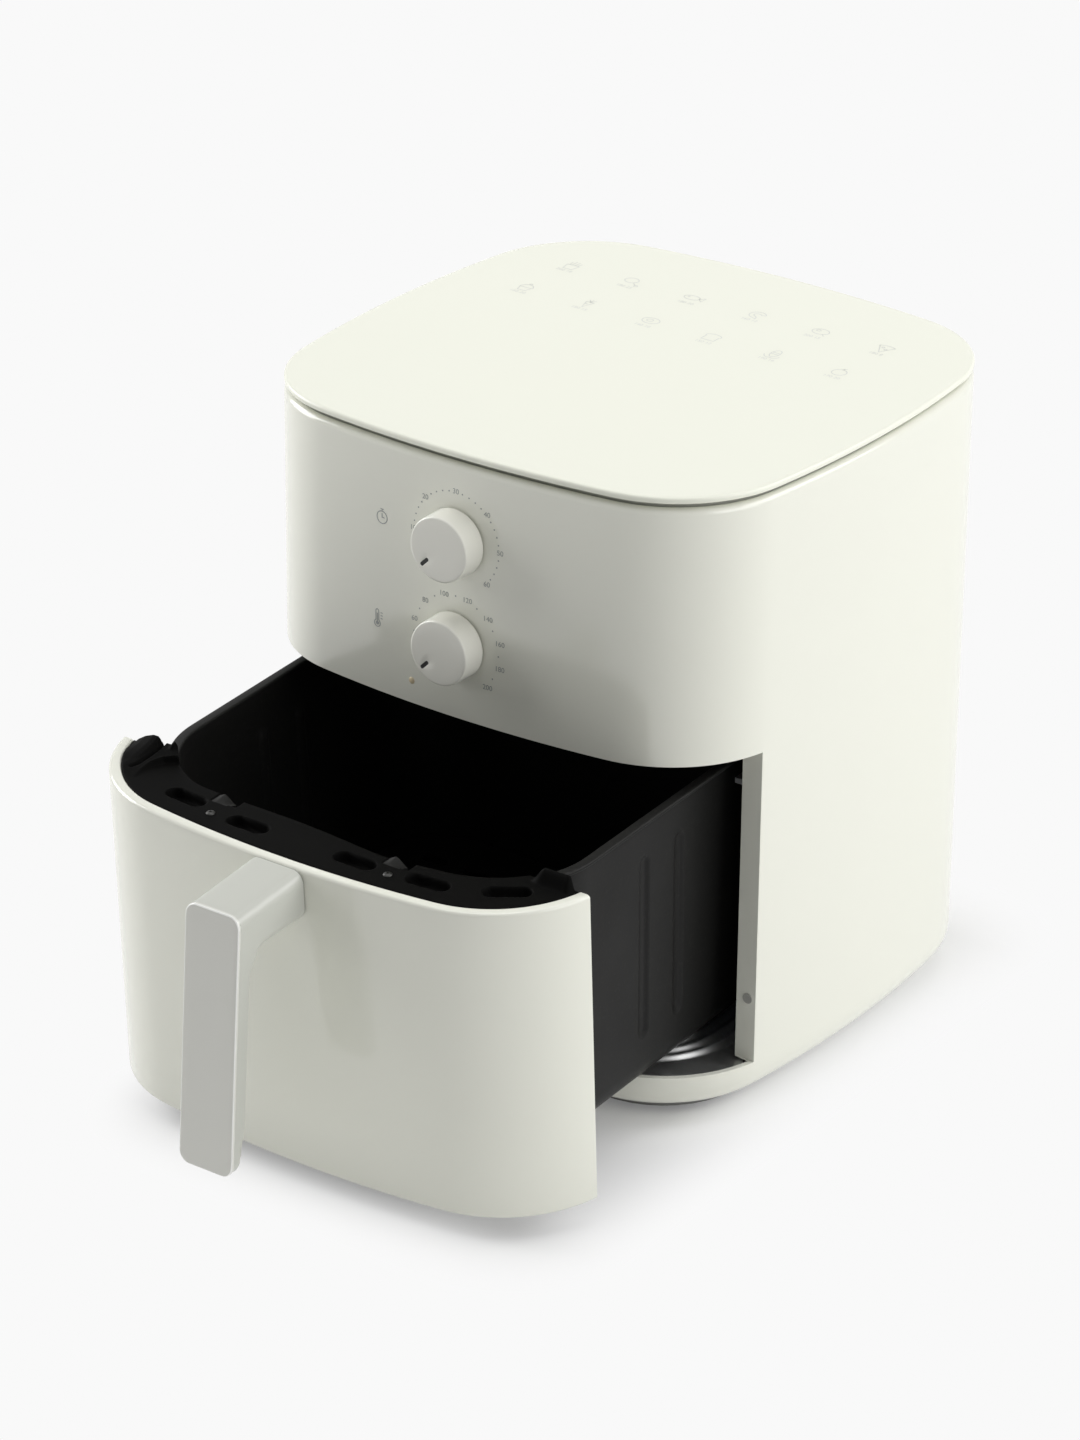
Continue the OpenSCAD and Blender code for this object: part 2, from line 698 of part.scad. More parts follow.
module drawer_frame() {
    color(black) on_drawer() difference() {
        union() {
            body_slab(front_t, frame_z0, frame_z1);
            intersection() {
                both_sides() bar_y(lobe_x, front_y1 - 16, front_y1 - 0.6, lobe_z, lobe_r);
                body_slab(front_t, frame_z0, far);
            }
            intersection() {
                for (x = [-70, -24, 24, 70]) block(x - 1.5, x + 1.5, -far, -92, 120, frame_z0 + 1);
                body_slab(front_skin_t + 0.1, 100, frame_z0 - 2);
            }
            intersection() {
                for (x = [-70, -24, 24, 70]) block(x - 1.5, x + 1.5, -far, -92, 120, frame_z0 + 1);
                body_slab(front_t, 100, frame_z0 + 1);
            }
        }
        box_slab(basket_outline(rim_lip - 0.3), 0, far);
        block(-far, far, front_y1 - 0.5, far, 0, far);
        for (x = [28, 65]) both_sides() slot_hole(x, -107, frame_z0 - 1, frame_z1 + 1, slot_len, slot_wid);
        both_sides() translate([94, -95, 0]) rotate([0, 0, 38])
            slot_hole(0, 0, frame_z0 - 1, frame_z1 + 1, slot_len - 2, slot_wid - 1);
    }
}
clip_x = 47;
module frame_clips() {
    color(black) on_drawer() both_sides()
        block(clip_x - 6, clip_x + 6, -basket_front - 14, -basket_front - 0.2, frame_z1, rim_z + 1);
}
module frame_screws() {
    color("silver") on_drawer() both_sides()
        bar_z(clip_x, -basket_front - 10, rim_z + 1, rim_z + 1.8, 2.6);
}
grip_lean = (grip_reach_low - grip_reach_top) / (grip_top - grip_low);
function grip_front(z) = -grip_reach_top - grip_lean * (grip_top - z);
// Side view of the arm and the grip, with round corners at the grip's ends and under the arm
module handle_profile() {
    polygon(concat(
        [[-half_d + 1, arm_z1], [grip_front(grip_top - 3) + 1.2, grip_top],
            [grip_front(grip_top - 2), grip_top - 2]],
        [[grip_front(grip_low + 3), grip_low + 3], [grip_front(grip_low) + 2.4, grip_low],
            [grip_front(grip_low) + handle_t - 3, grip_low],
            [grip_front(grip_low + 3) + handle_t, grip_low + 3]],
        arc(grip_front(arm_z0 - 12) + handle_t + 12, arm_z0 - 12, 12, 180, 90, 6),
        [[grip_front(arm_z0 - 12) + handle_t + 12, arm_z0], [-half_d + 1, arm_z0]]));
}
module handle_body() {
    color("whitesmoke") on_drawer() difference() {
        union() {
            rotate([90, 0, 90]) translate([0, 0, -handle_w / 2]) linear_extrude(handle_w) handle_profile();
            block(-handle_w / 2 - 1.6, handle_w / 2 + 1.6, -half_d - 1.5, -half_d + 1, arm_z0, arm_z1);
        }
        body_slab(0, 0, far);
        bar_y(0, -155, -110, arm_z0 + 12, 1.8);
        rotate([90, 0, 90]) translate([0, 0, -far / 2]) linear_extrude(far)
            polygon([[grip_front(grip_top + 9) - 9, grip_top + 9], [grip_front(grip_top + 9) + face_t, grip_top + 9],
                [grip_front(grip_low - 9) + face_t, grip_low - 9], [grip_front(grip_low - 9) - 9, grip_low - 9]]);
    }
}
module handle_face() {
    color("silver") on_drawer() rotate([90, 0, 90]) translate([0, 0, -handle_w / 2 + 0.3])
        linear_extrude(handle_w - 0.6)
            polygon([[grip_front(grip_top - 0.6), grip_top - 0.6],
                [grip_front(grip_low + 0.6), grip_low + 0.6],
                [grip_front(grip_low + 0.6) + face_t, grip_low + 0.6],
                [grip_front(grip_top - 0.6) + face_t, grip_top - 0.6]]);
}
module handle_screws() {
    color("silver") on_drawer() {
        bar_y(0, -half_d + front_skin_t + 0.2, -half_d + front_skin_t + 2.4, arm_z0 + 12, 3.3);
        bar_y(0, -150, -half_d + 4, arm_z0 + 12, 1.75);
    }
}
glide_len = 12;
glide_in = 106.8;
glide_out = 114.6;
module rim_glides() {
    color("gainsboro") on_rails() both_sides() difference() {
        union() {
            block(glide_in, glide_out, hinge_y - glide_len / 2, hinge_y + glide_len / 2, rail_top + 0.4,
                rim_z + 3);
            translate([glide_out - eps, hinge_y, hinge_z]) rotate([0, 90, 0]) cylinder(h = 0.8, r = 3);
        }
        block(glide_in - 1, basket_half + 0.6, hinge_y - glide_len, hinge_y + glide_len, frame_z1 - 0.9,
            rim_z + 0.9);
    }
}
tray_z = basket_bottom + 20;
tray_t = 2;
tray_inset = rim_lip + basket_draft + basket_t + 2.6;
module crisper_tray() {
    color(black) on_drawer() {
        difference() {
            box_slab(basket_outline(tray_inset), tray_z - 4, tray_z + tray_t);
            box_slab(basket_outline(tray_inset + 2), tray_z - 5, tray_z);
            for (x = [-72:24:72], y = [-66:22:66])
                slot_hole(x, 4 + y, tray_z - 1, tray_z + tray_t + 1, 15, 6);
        }
        for (x = [-60, 60], y = [-55, 55])
            bar_z(x, 4 + y, basket_bottom + basket_t + 0.4, tray_z + eps, 4);
        for (x = [-11, 9]) block(x, x + 2, 1, 7, tray_z + tray_t - eps, tray_z + 11);
        block(-11, 11, 1, 7, tray_z + 9, tray_z + 11);
    }
}
module tray_bumpers() {
    color("dimgray") on_drawer() both_sides() for (y = [-40, 48])
        block(basket_half - tray_inset, basket_half - tray_inset + 1.4, y - 8, y + 8, tray_z - 4,
            tray_z + tray_t - 0.4);
}

outer_shell();
top_plate();
top_seal();
base_plate();
feet();
base_screws();
cheek_screws();
chamber_liner();
floor_plate();
drawer_rails();
ceiling_plate();
heater_shroud();
heater_coil();
heater_clips();
motor();
motor_bracket();
motor_shaft();
hot_air_fan();
fan_nut();
cooling_fan();
thermal_fuse();
exhaust_duct();
outlet_grille();
cord_gland();
terminal_block();
wiring();
control_bracket();
timer_unit();
timer_bell();
timer_spindle();
timer_knob();
thermostat_unit();
thermostat_bulb();
thermostat_spindle();
temperature_knob();
indicator_lens();
indicator_lamp();
interlock_switch();
switch_plunger();
rim_glides();
basket();
drawer_front();
drawer_frame();
frame_clips();
frame_screws();
handle_body();
handle_face();
handle_screws();
crisper_tray();
tray_bumpers();
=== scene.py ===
"""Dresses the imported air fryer: smooth white mouldings, dark coated drawer, printed dials and studio.

Run it as a script in Blender 4.5. It is laid out as an add-on, with one operator for each group of pieces,
and a sidebar panel that lists them. All lengths are in metres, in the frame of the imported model.
"""
import math

import bmesh
import bpy
import numpy as np
from mathutils import Matrix, Vector
from mathutils.geometry import delaunay_2d_cdt


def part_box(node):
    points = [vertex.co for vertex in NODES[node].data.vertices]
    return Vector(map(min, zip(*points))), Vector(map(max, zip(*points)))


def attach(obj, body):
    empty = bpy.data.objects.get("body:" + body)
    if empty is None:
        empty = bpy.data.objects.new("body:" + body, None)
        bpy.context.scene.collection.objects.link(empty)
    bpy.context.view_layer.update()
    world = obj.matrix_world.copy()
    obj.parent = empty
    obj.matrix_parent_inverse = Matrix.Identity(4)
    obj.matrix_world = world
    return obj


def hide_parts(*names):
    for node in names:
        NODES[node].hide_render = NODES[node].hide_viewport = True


bl_info = {
    "name": "Air fryer finisher",
    "version": (1, 0, 0),
    "blender": (4, 5, 0),
    "location": "View3D > Sidebar > Air Fryer",
    "description": "Builds the visible surfaces, the materials and the studio of a basket air fryer",
    "category": "Object",
}

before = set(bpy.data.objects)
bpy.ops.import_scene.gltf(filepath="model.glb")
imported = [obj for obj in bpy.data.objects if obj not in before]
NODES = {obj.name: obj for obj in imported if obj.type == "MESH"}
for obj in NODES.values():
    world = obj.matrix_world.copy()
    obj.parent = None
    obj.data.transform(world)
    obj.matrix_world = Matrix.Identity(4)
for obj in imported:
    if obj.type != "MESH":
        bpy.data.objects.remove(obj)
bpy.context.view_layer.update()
MM = 0.001
SHELL_LO, SHELL_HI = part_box("outer_shell")
LID_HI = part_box("top_plate")[1]

# ---- properties ----


def length(label, what, default_mm, low=0.1, high=400):
    """A length property in metres, with its default and limits given in millimetres."""
    return bpy.props.FloatProperty(name=label, description=what, default=default_mm * MM,
                                   min=low * MM, max=high * MM, unit="LENGTH", precision=5)


def colour(label, what, default):
    """A colour property with red, green and blue from 0 to 1."""
    return bpy.props.FloatVectorProperty(name=label, description=what, default=default, size=3,
                                         min=0, max=1, subtype="COLOR")


class HousingSizes(bpy.types.PropertyGroup):
    """Sizes of the housing and its drawer opening."""
    half_w: length("Half width", "Half of the housing's width", SHELL_HI.x / MM)
    half_d: length("Half depth", "Half of the housing's depth", SHELL_HI.y / MM)
    bow: length("Side bow", "Radius of the slight bow of each side", 580, 300, 2000)
    corner: length("Corner radius", "Radius of the upright corners", 59)
    wall: length("Wall", "Thickness of the moulded wall", 2.6, 0.5, 6)
    top: length("Shell top", "Height of the shell's shoulder", SHELL_HI.z / MM)
    bottom: length("Shell bottom", "Height of the shell's lower face", SHELL_LO.z / MM)
    bottom_round: length("Bottom round", "Radius of the bottom edge", 15.4)
    skirt: length("Skirt", "How far the bottom edge stands above the shell's lower face", 2.6)
    shoulder: length("Shoulder", "Radius of the shell's upper edge", 3.2)
    ledge: length("Ledge", "How far the ledge under the top plate reaches inwards", 12)
    sill: length("Sill", "Height of the opening's lower edge", 26.8)
    opening: length("Opening top", "Height of the opening's upper edge", 179.5)
    cheek: length("Cheek reach", "How far the cheeks lie in front of the middle", 77.5)
    cheek_wall: length("Cheek wall", "Thickness of the cheeks", 2.5)
    chamber: length("Chamber", "Half of the chamber's clear width", 116.5)
    chamber_back: length("Chamber back", "How far the chamber reaches behind the middle", 112)
    chamber_round: length("Chamber round", "Radius of the chamber's rear corners", 29)
    chamber_top: length("Chamber top", "Height of the chamber's ceiling", 184)
    soffit: length("Soffit", "Height of the ledge over the drawer front", 184.5)
    floor: length("Floor", "Height of the chamber's floor", 25)
    dish: length("Dish", "Half of the floor dish's width", 109)
    dish_front: length("Dish front", "How far the dish reaches in front of the middle", 113.5)
    dish_back: length("Dish back", "How far the dish reaches behind the middle", 104)
    dish_front_round: length("Dish front round", "Radius of the dish's front corners", 52)
    dish_back_round: length("Dish rear round", "Radius of the dish's rear corners", 48)
    dish_wave: length("Dish rings", "Width of one pressed ring of the dish", 6.8)
    dish_depth: length("Dish depth", "Depth of the dish's rings from their middle", 1.1)


class DrawerSizes(bpy.types.PropertyGroup):
    """Sizes of the drawer with the drawer closed, and its pulled place."""
    half_w: length("Half width", "Half of the basket's width over its rim", 109.5)
    front: length("Front", "How far the basket reaches in front of the middle", 98)
    back: length("Back", "How far the basket reaches behind the middle", 106)
    corner: length("Corner radius", "Radius of the basket's upright corners", 45)
    lip: length("Lip", "Width of the rim", 3.6)
    lip_corner: length("Rear lip corner", "Radius of the rim's rear corners", 12)
    draft: length("Draft", "How far the walls draw in towards the bottom", 3.4)
    draft_top: length("Draft top", "Height at which the draft starts", 175.4)
    foot: length("Foot round", "Radius of the basket's lower edge", 14)
    wall: length("Sheet", "Thickness of the basket's sheet", 1.6)
    bottom: length("Bottom", "Height of the basket's underside", 39.2)
    rim: length("Rim", "Height of the basket's rim", 177)
    panel_low: length("Panel low", "Height of the drawer front's lower edge", 28.2)
    panel_top: length("Panel top", "Height of the drawer front's upper edge", 178.1)
    panel_rim: length("Panel rim", "Thickness of the drawer front at its rim", 5.5)
    panel_wall: length("Panel wall", "Thickness of the drawer front below its rim", 3.2)
    panel_end: length("Panel end", "How far the drawer front's ends lie in front of the middle", 78.9)
    flange_low: length("Flange low", "Height of the flange's underside", 172)
    flange_face: length("Flange face", "Height of the flange's upper face", 177.8)
    hinge_y: length("Rear rim, back", "Place of the rear rim's turning point behind the middle", 84)
    hinge_z: length("Rear rim, height", "Height of the rear rim's turning point", 176.2)
    pull: length("Pull", "How far the drawer is pulled out", 125.6)
    slope: bpy.props.FloatProperty(name="Rail slope", description="Fall of the rails towards the front",
                                   default=math.radians(2.77), subtype="ANGLE")
    droop: bpy.props.FloatProperty(name="Droop", description="Nose-down lean of the pulled drawer",
                                   default=math.radians(2.61 * 1.256), subtype="ANGLE")


class HandleSizes(bpy.types.PropertyGroup):
    """Sizes of the drawer's handle with the drawer closed."""
    half_w: length("Half width", "Half of the handle's width", 14.4)
    root_top: length("Root top", "Height of the arm's top at the drawer front", 177.7)
    top: length("Top", "Height of the arm's top at the cover", 175.5)
    arm: length("Arm", "Height of the arm's underside", 154.5)
    low: length("Low end", "Height of the grip's lower end", 55.5)
    reach: length("Reach", "How far the cover's top stands in front of the middle", 173)
    low_reach: length("Low reach", "How far the cover's lower end stands in front of the middle", 188)
    grip: length("Grip", "Depth of the grip with its cover", 10)
    elbow: length("Elbow", "Radius of the round between arm and grip", 13)
    edge: length("Edge", "Radius of the body's long edges", 2.6)
    corner: length("Corner", "Radius of the body's and the cover's corners", 5.6)
    cover: length("Cover", "Thickness of the cover", 1.6)
    gap: length("Gap", "Gap between cover and body", 0.1)


class DialSizes(bpy.types.PropertyGroup):
    """Sizes and places of the two dials and their printed rings."""
    radius: length("Radius", "Radius of both knobs", 15.4)
    depth: length("Depth", "Depth of both knobs", 12)
    gap: length("Gap", "Gap between the knobs and the front", 0.7)
    timer_z: length("Timer height", "Height of the timer dial", 263.6)
    thermo_z: length("Temperature height", "Height of the temperature dial", 214.8)
    ring: length("Ring", "Radius of the printed rings", 22.8)
    digit: length("Digits", "Height of the printed digits", 2.5)
    pointer: length("Pointer", "How far the pointer groove lies from the knob's middle", 10.3)
    pointer_turn: bpy.props.FloatProperty(name="Pointer turn", description="Direction of both pointers at 0",
                                          default=math.radians(225), subtype="ANGLE")


class Finishes(bpy.types.PropertyGroup):
    """Colours of the air fryer's surfaces."""
    white: colour("White", "Moulded housing and drawer front", (0.84, 0.845, 0.755))
    lid: colour("Lid", "Top plate", (0.875, 0.885, 0.775))
    knob: colour("Knob", "Both knobs", (0.875, 0.87, 0.795))
    handle: colour("Handle", "Handle body", (0.565, 0.575, 0.525))
    cover: colour("Handle cover", "Plate on the handle's front", (0.74, 0.74, 0.69))
    coat: colour("Coating", "Black coated steel", (0.008, 0.0079, 0.0075))
    print_gray: colour("Print", "Printed marks on the front", (0.33, 0.35, 0.34))
    floor: colour("Studio floor", "Pale floor and backdrop", (0.93, 0.93, 0.93))


def props(name):
    """One of the scene's property groups."""
    return getattr(bpy.context.scene, "air_fryer_" + name)


# ---- outlines: a closed curve given by the direction of its outward normal ----


def corner_facts():
    """Centre of the housing's front right corner arc, and the normal directions where it starts and ends.

    The centre lies bow - corner away from the centres of both side arcs, so the three arcs touch.
    """
    h = props("housing")
    bow_x, bow_y = h.bow - h.half_w, h.bow - h.half_d
    reach = math.hypot(bow_x, bow_y)
    rise = math.sqrt((h.bow - h.corner) ** 2 - reach ** 2 / 4)
    cx = -bow_x / 2 + rise * bow_y / reach
    cy = -bow_y / 2 + rise * bow_x / reach
    return cx, cy, math.atan2(cy, cx + bow_x), math.atan2(cy + bow_y, cx)


def bowed_outline(angle, inset=0.0):
    """The housing's outline at normal direction angle, drawn in by inset.

    Each quarter is a side arc, a corner arc and a second side arc that touch. A point is the arc's centre
    plus (arc radius - inset) times the unit normal. Returns x and y.
    """
    h = props("housing")
    cx, cy, side_end, back_start = corner_facts()
    c, s = np.cos(angle), np.sin(angle)
    fold = np.arctan2(np.abs(s), np.abs(c))
    side, back = fold < side_end, fold > back_start
    px = np.where(side, h.half_w - h.bow, np.where(back, 0, cx))
    py = np.where(side, 0, np.where(back, h.half_d - h.bow, cy))
    r = np.where(side | back, h.bow, h.corner) - inset
    sx, sy = np.where(c < 0, -1, 1), np.where(s < 0, -1, 1)
    return sx * px + r * c, sy * py + r * s


def cut_angle(ahead, inset=0.0):
    """Angle below the x axis of the normal where the corner arc drawn in by inset meets the line y = -ahead."""
    _, cy, _, _ = corner_facts()
    return -math.asin((ahead - cy) / (props("housing").corner - inset))


def quarter_angles(n_side, n_corner):
    """Normal directions of one quarter, close together along its corner and wider along its sides."""
    _, _, a0, a1 = corner_facts()
    return np.concatenate([np.linspace(0, a0, n_side, endpoint=False),
                           np.linspace(a0, a1, n_corner, endpoint=False),
                           np.linspace(a1, math.pi / 2, n_side, endpoint=False)])


def ring_angles(n_side=9, n_corner=20):
    """Normal directions all the way round the housing."""
    q = quarter_angles(n_side, n_corner)
    flip = np.concatenate([[0], (math.pi / 2 - q[1:])[::-1]])
    return np.concatenate([q, math.pi / 2 + flip, math.pi + q, 1.5 * math.pi + flip])


def box_outline(half, y0, y1, r0, r1, n_corner, n_side):
    """A round-cornered box from y0 to y1 with its own front and rear radius, counter-clockwise from the right.

    Returns the points of the line and their unit normals, so that a point drawn in by inset is
    point - inset * normal.
    """
    parts = []

    def corner(cx, cy, r, a0, a1):
        a = np.linspace(a0, a1, n_corner + 1)
        n = np.stack([np.cos(a), np.sin(a)], 1)
        parts.append((np.array([cx, cy]) + r * n, n))

    def side(p0, p1, normal):
        t = np.linspace(0, 1, n_side + 2)[1:-1, None]
        parts.append((np.array(p0) * (1 - t) + np.array(p1) * t, np.repeat([normal], n_side, 0)))

    q = math.pi / 2
    side((half, y0 + r0), (half, y1 - r1), (1, 0))
    corner(half - r1, y1 - r1, r1, 0, q)
    side((half - r1, y1), (r1 - half, y1), (0, 1))
    corner(r1 - half, y1 - r1, r1, q, 2 * q)
    side((-half, y1 - r1), (-half, y0 + r0), (-1, 0))
    corner(r0 - half, y0 + r0, r0, 2 * q, 3 * q)
    side((r0 - half, y0), (half - r0, y0), (0, -1))
    corner(half - r0, y0 + r0, r0, 3 * q, 4 * q)
    return np.concatenate([p for p, _ in parts]), np.concatenate([n for _, n in parts])


def round_steps(r, n):
    """r (1 - sin a) and r (1 - cos a) for n + 1 angles of a quarter turn: both offsets of a rounded edge."""
    a = np.linspace(0, math.pi / 2, n + 1)
    return r * (1 - np.sin(a)), r * (1 - np.cos(a))


def ease(t):
    """0 below 0, 1 above 1, and 3 t squared - 2 t cubed between."""
    t = np.clip(t, 0, 1)
    return t * t * (3 - 2 * t)


def even_row(line, n):
    """A row of n points spaced evenly along a line of points."""
    step = np.hypot(*np.diff(line, axis=0).T)
    along = np.concatenate([[0], np.cumsum(step)])
    t = np.linspace(0, along[-1], n)
    return np.stack([np.interp(t, along, line[:, 0]), np.interp(t, along, line[:, 1])], 1)


# ---- meshes ----


def make(name, points, faces, material, body, slot, replaced=(), smooth=True, flat_angle=38, ink=None):
    """A mesh object from points and faces that rides on a body, with its doubles merged and normals out.

    For printed marks, ink is the direction that their faces look in, and they get a thin body.
    """
    mesh = bpy.data.meshes.new(name)
    mesh.from_pydata(np.asarray(points).reshape(-1, 3).tolist(), [], [list(map(int, f)) for f in faces])
    obj = bpy.data.objects.new(name, mesh)
    bpy.context.scene.collection.objects.link(obj)
    tidy(obj, ink)
    if ink:
        ink_body = obj.modifiers.new("Ink", "SOLIDIFY")
        ink_body.thickness, ink_body.offset = 0.04 * MM, -1
    mesh.materials.append(material)
    if smooth:
        mesh.shade_smooth()
        mesh.set_sharp_from_angle(angle=math.radians(flat_angle))
    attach(obj, body)
    if replaced:
        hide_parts(*replaced)
    return obj


def tidy(obj, look=None):
    """Merges points closer than 2 micrometres, drops empty faces and turns the normals outwards, or to look."""
    bm = bmesh.new()
    bm.from_mesh(obj.data)
    bmesh.ops.remove_doubles(bm, verts=bm.verts, dist=2e-6)
    bmesh.ops.dissolve_degenerate(bm, edges=bm.edges, dist=1e-7)
    if look is None:
        bmesh.ops.recalc_face_normals(bm, faces=bm.faces)
    else:
        bm.normal_update()
        bmesh.ops.reverse_faces(bm, faces=[f for f in bm.faces if f.normal.dot(look) < 0])
    bm.to_mesh(obj.data)
    bm.free()


def grid_faces(u, v, wrap_u=False, wrap_v=False):
    """Faces of a grid with u rows of v points, each point joined to its neighbours; either way may close."""
    i, j = np.meshgrid(np.arange(u if wrap_u else u - 1), np.arange(v if wrap_v else v - 1), indexing="ij")
    a = i * v + j
    b = ((i + 1) % u) * v + j
    c = ((i + 1) % u) * v + (j + 1) % v
    d = i * v + (j + 1) % v
    return np.stack([a, b, c, d], -1).reshape(-1, 4)


def lathe(profile, n):
    """A profile of radius and height turned about Z: the point at angle a is (r cos a, r sin a, z)."""
    p = np.asarray(profile, float)
    a = np.linspace(0, 2 * math.pi, n, endpoint=False)[:, None]
    pts = np.stack([p[:, 0] * np.cos(a), p[:, 0] * np.sin(a), np.broadcast_to(p[:, 1], (n, len(p)))], -1)
    return pts, grid_faces(n, len(p), wrap_u=True)


def lathe_out(profile, n, x, y, z):
    """A profile turned about the line at x and z that points out of the front; its height 0 lies at y."""
    points, faces = lathe(profile, n)
    return points[..., [0, 2, 1]] * [1, -1, 1] + [x, y, z], faces


class Parts:
    """Collects grids of points and faces for one mesh."""

    def __init__(self):
        self.points, self.faces, self.count = [], [], 0

    def add(self, points, faces):
        """Adds points in any array shape and faces that count from the first of them."""
        points = np.asarray(points, float).reshape(-1, 3)
        self.points.append(points)
        self.faces += [tuple(int(k) + self.count for k in f) for f in faces]
        self.count += len(points)
        return self

    def tube(self, grid):
        """Adds a grid whose rows of columns close round, with a flat face over its first and its last row."""
        u, v = grid.shape[:2]
        self.add(grid, grid_faces(u, v, wrap_u=True))
        return self.add(grid[:, 0], [range(u)[::-1]]).add(grid[:, -1], [range(u)])

    def swept(self, grid):
        """Adds a closed section's sweep with a flat face on each end."""
        u, v = grid.shape[:2]
        self.add(grid, grid_faces(u, v, wrap_v=True))
        return self.add(grid[0], [range(v)]).add(grid[-1], [range(v)[::-1]])

    def build(self, name, *args, **kw):
        """Makes the object from everything collected, with make's own values."""
        return make(name, np.concatenate(self.points), self.faces, *args, **kw)


def open_edges(faces):
    """The edges that only one of the faces has; faces is a row of equal polygons."""
    edges = np.concatenate([np.stack([faces[:, k], faces[:, (k + 1) % faces.shape[1]]], 1)
                            for k in range(faces.shape[1])])
    _, first, count = np.unique(np.sort(edges, 1), axis=0, return_index=True, return_counts=True)
    return edges[first[count == 1]]


def thick_grid(outer, inner, keep):
    """Two matching grids with the same kept cells, joined by walls along every edge of the kept region."""
    u, v = outer.shape[:2]
    keep = np.asarray(keep, bool)
    cells = grid_faces(u, v, wrap_u=keep.shape[0] == u).reshape(keep.shape + (4,))[keep]
    rim = open_edges(cells)
    n = u * v
    walls = np.stack([rim[:, 1], rim[:, 0], rim[:, 0] + n, rim[:, 1] + n], 1)
    faces = np.concatenate([cells, cells[:, ::-1] + n, walls])
    return np.concatenate([outer.reshape(-1, 3), inner.reshape(-1, 3)]), faces


def plate(loops, z0, z1):
    """A flat plate with holes: its outline and then its holes, all closed rows of x, y."""
    verts, edges = [], []
    for loop in loops:
        k = len(verts)
        verts += [Vector((float(x), float(y))) for x, y in loop]
        edges += [(k + i, k + (i + 1) % len(loop)) for i in range(len(loop))]
    flat, _, tris, *_ = delaunay_2d_cdt(verts, edges, [], 2, 1e-9)
    xy = np.array([tuple(p) for p in flat])
    tris = np.array([t for t in tris if len(t) == 3])
    rim = open_edges(tris)
    n = len(xy)
    low = np.column_stack([xy, np.full(n, z0)])
    high = np.column_stack([xy, np.full(n, z1)])
    walls = np.stack([rim[:, 0], rim[:, 1], rim[:, 1] + n, rim[:, 0] + n], 1)
    faces = [tuple(f) for f in tris[:, ::-1]] + [tuple(f + n) for f in tris] + [tuple(f) for f in walls]
    return np.concatenate([low, high]), faces


def soften(obj, width, segments=2):
    """Rounds every edge sharper than 40 degrees with a Bevel modifier of the width in millimetres."""
    bevel = obj.modifiers.new("Soft edges", "BEVEL")
    bevel.width = width * MM
    bevel.segments = segments
    bevel.limit_method = "ANGLE"
    bevel.angle_limit = math.radians(40)
    bevel.miter_outer = "MITER_ARC"


def face_values(obj, name, size):
    """One row for each of the size parts of a value, such as a normal, that every face of an object has."""
    values = np.zeros(len(obj.data.polygons) * size)
    obj.data.polygons.foreach_get(name, values)
    return values.reshape(-1, size).T


def second_finish(obj, material, where):
    """Gives an object a second material on the faces where the mask holds."""
    obj.data.materials.append(material)
    obj.data.polygons.foreach_set("material_index", where.astype(np.int32))


def pulled(points):
    """Carries closed-drawer points to the pulled place: a turn about the rear rim and a way down the rails."""
    d = props("drawer")
    p = np.asarray(points, float)
    c, s = math.cos(d.droop), math.sin(d.droop)
    y, z = p[..., 1] - d.hinge_y, p[..., 2] - d.hinge_z
    out = p.copy()
    out[..., 1] = d.hinge_y + y * c - z * s - d.pull * math.cos(d.slope)
    out[..., 2] = d.hinge_z + y * s + z * c - d.pull * math.sin(d.slope)
    return out


# ---- materials ----


def node_group(name, inputs, outputs, build):
    """A shader node group with named sockets, built once; build(group, ins, outs) fills it."""
    if name in bpy.data.node_groups:
        return bpy.data.node_groups[name]
    group = bpy.data.node_groups.new(name, "ShaderNodeTree")
    for label, kind, value in inputs:
        group.interface.new_socket(name=label, in_out="INPUT", socket_type=kind).default_value = value
    for label, kind in outputs:
        group.interface.new_socket(name=label, in_out="OUTPUT", socket_type=kind)
    ins = group.nodes.new("NodeGroupInput")
    outs = group.nodes.new("NodeGroupOutput")
    build(group, ins, outs)
    return group


def add(tree, kind, settings=None, **values):
    """A node with its settings and the default values of its sockets."""
    node = tree.nodes.new(kind)
    for key, value in (settings or {}).items():
        setattr(node, key, value)
    for key, value in values.items():
        node.inputs[key.replace("_", " ")].default_value = value
    return node


def noise(tree, vector, scale, detail=2.0, rough=0.5):
    """A noise texture on a vector, returning its factor socket."""
    n = add(tree, "ShaderNodeTexNoise", None, Scale=scale, Detail=detail, Roughness=rough)
    tree.links.new(vector, n.inputs["Vector"])
    return n.outputs["Fac"]


def span(tree, value, low, high, from_low=0.3, from_high=0.7):
    """Maps a value from its own range to low..high; low and high may be sockets."""
    m = tree.nodes.new("ShaderNodeMapRange")
    tree.links.new(value, m.inputs["Value"])
    m.inputs["From Min"].default_value, m.inputs["From Max"].default_value = from_low, from_high
    for key, end in (("To Min", low), ("To Max", high)):
        if isinstance(end, (int, float)):
            m.inputs[key].default_value = end
        else:
            tree.links.new(end, m.inputs[key])
    return m.outputs["Result"]


def blend_colours(tree, factor, a, b):
    """Mixes two colour sockets by a factor socket."""
    m = add(tree, "ShaderNodeMix", {"data_type": "RGBA"})
    tree.links.new(factor, m.inputs["Factor"])
    for key, end in (("A", a), ("B", b)):
        tree.links.new(end, [s for s in m.inputs if s.name == key and s.type == "RGBA"][0])
    return [s for s in m.outputs if s.type == "RGBA"][0]


SKIN_OUTPUTS = [("Colour", "NodeSocketColor"), ("Roughness", "NodeSocketFloat"), ("Grain", "NodeSocketFloat")]


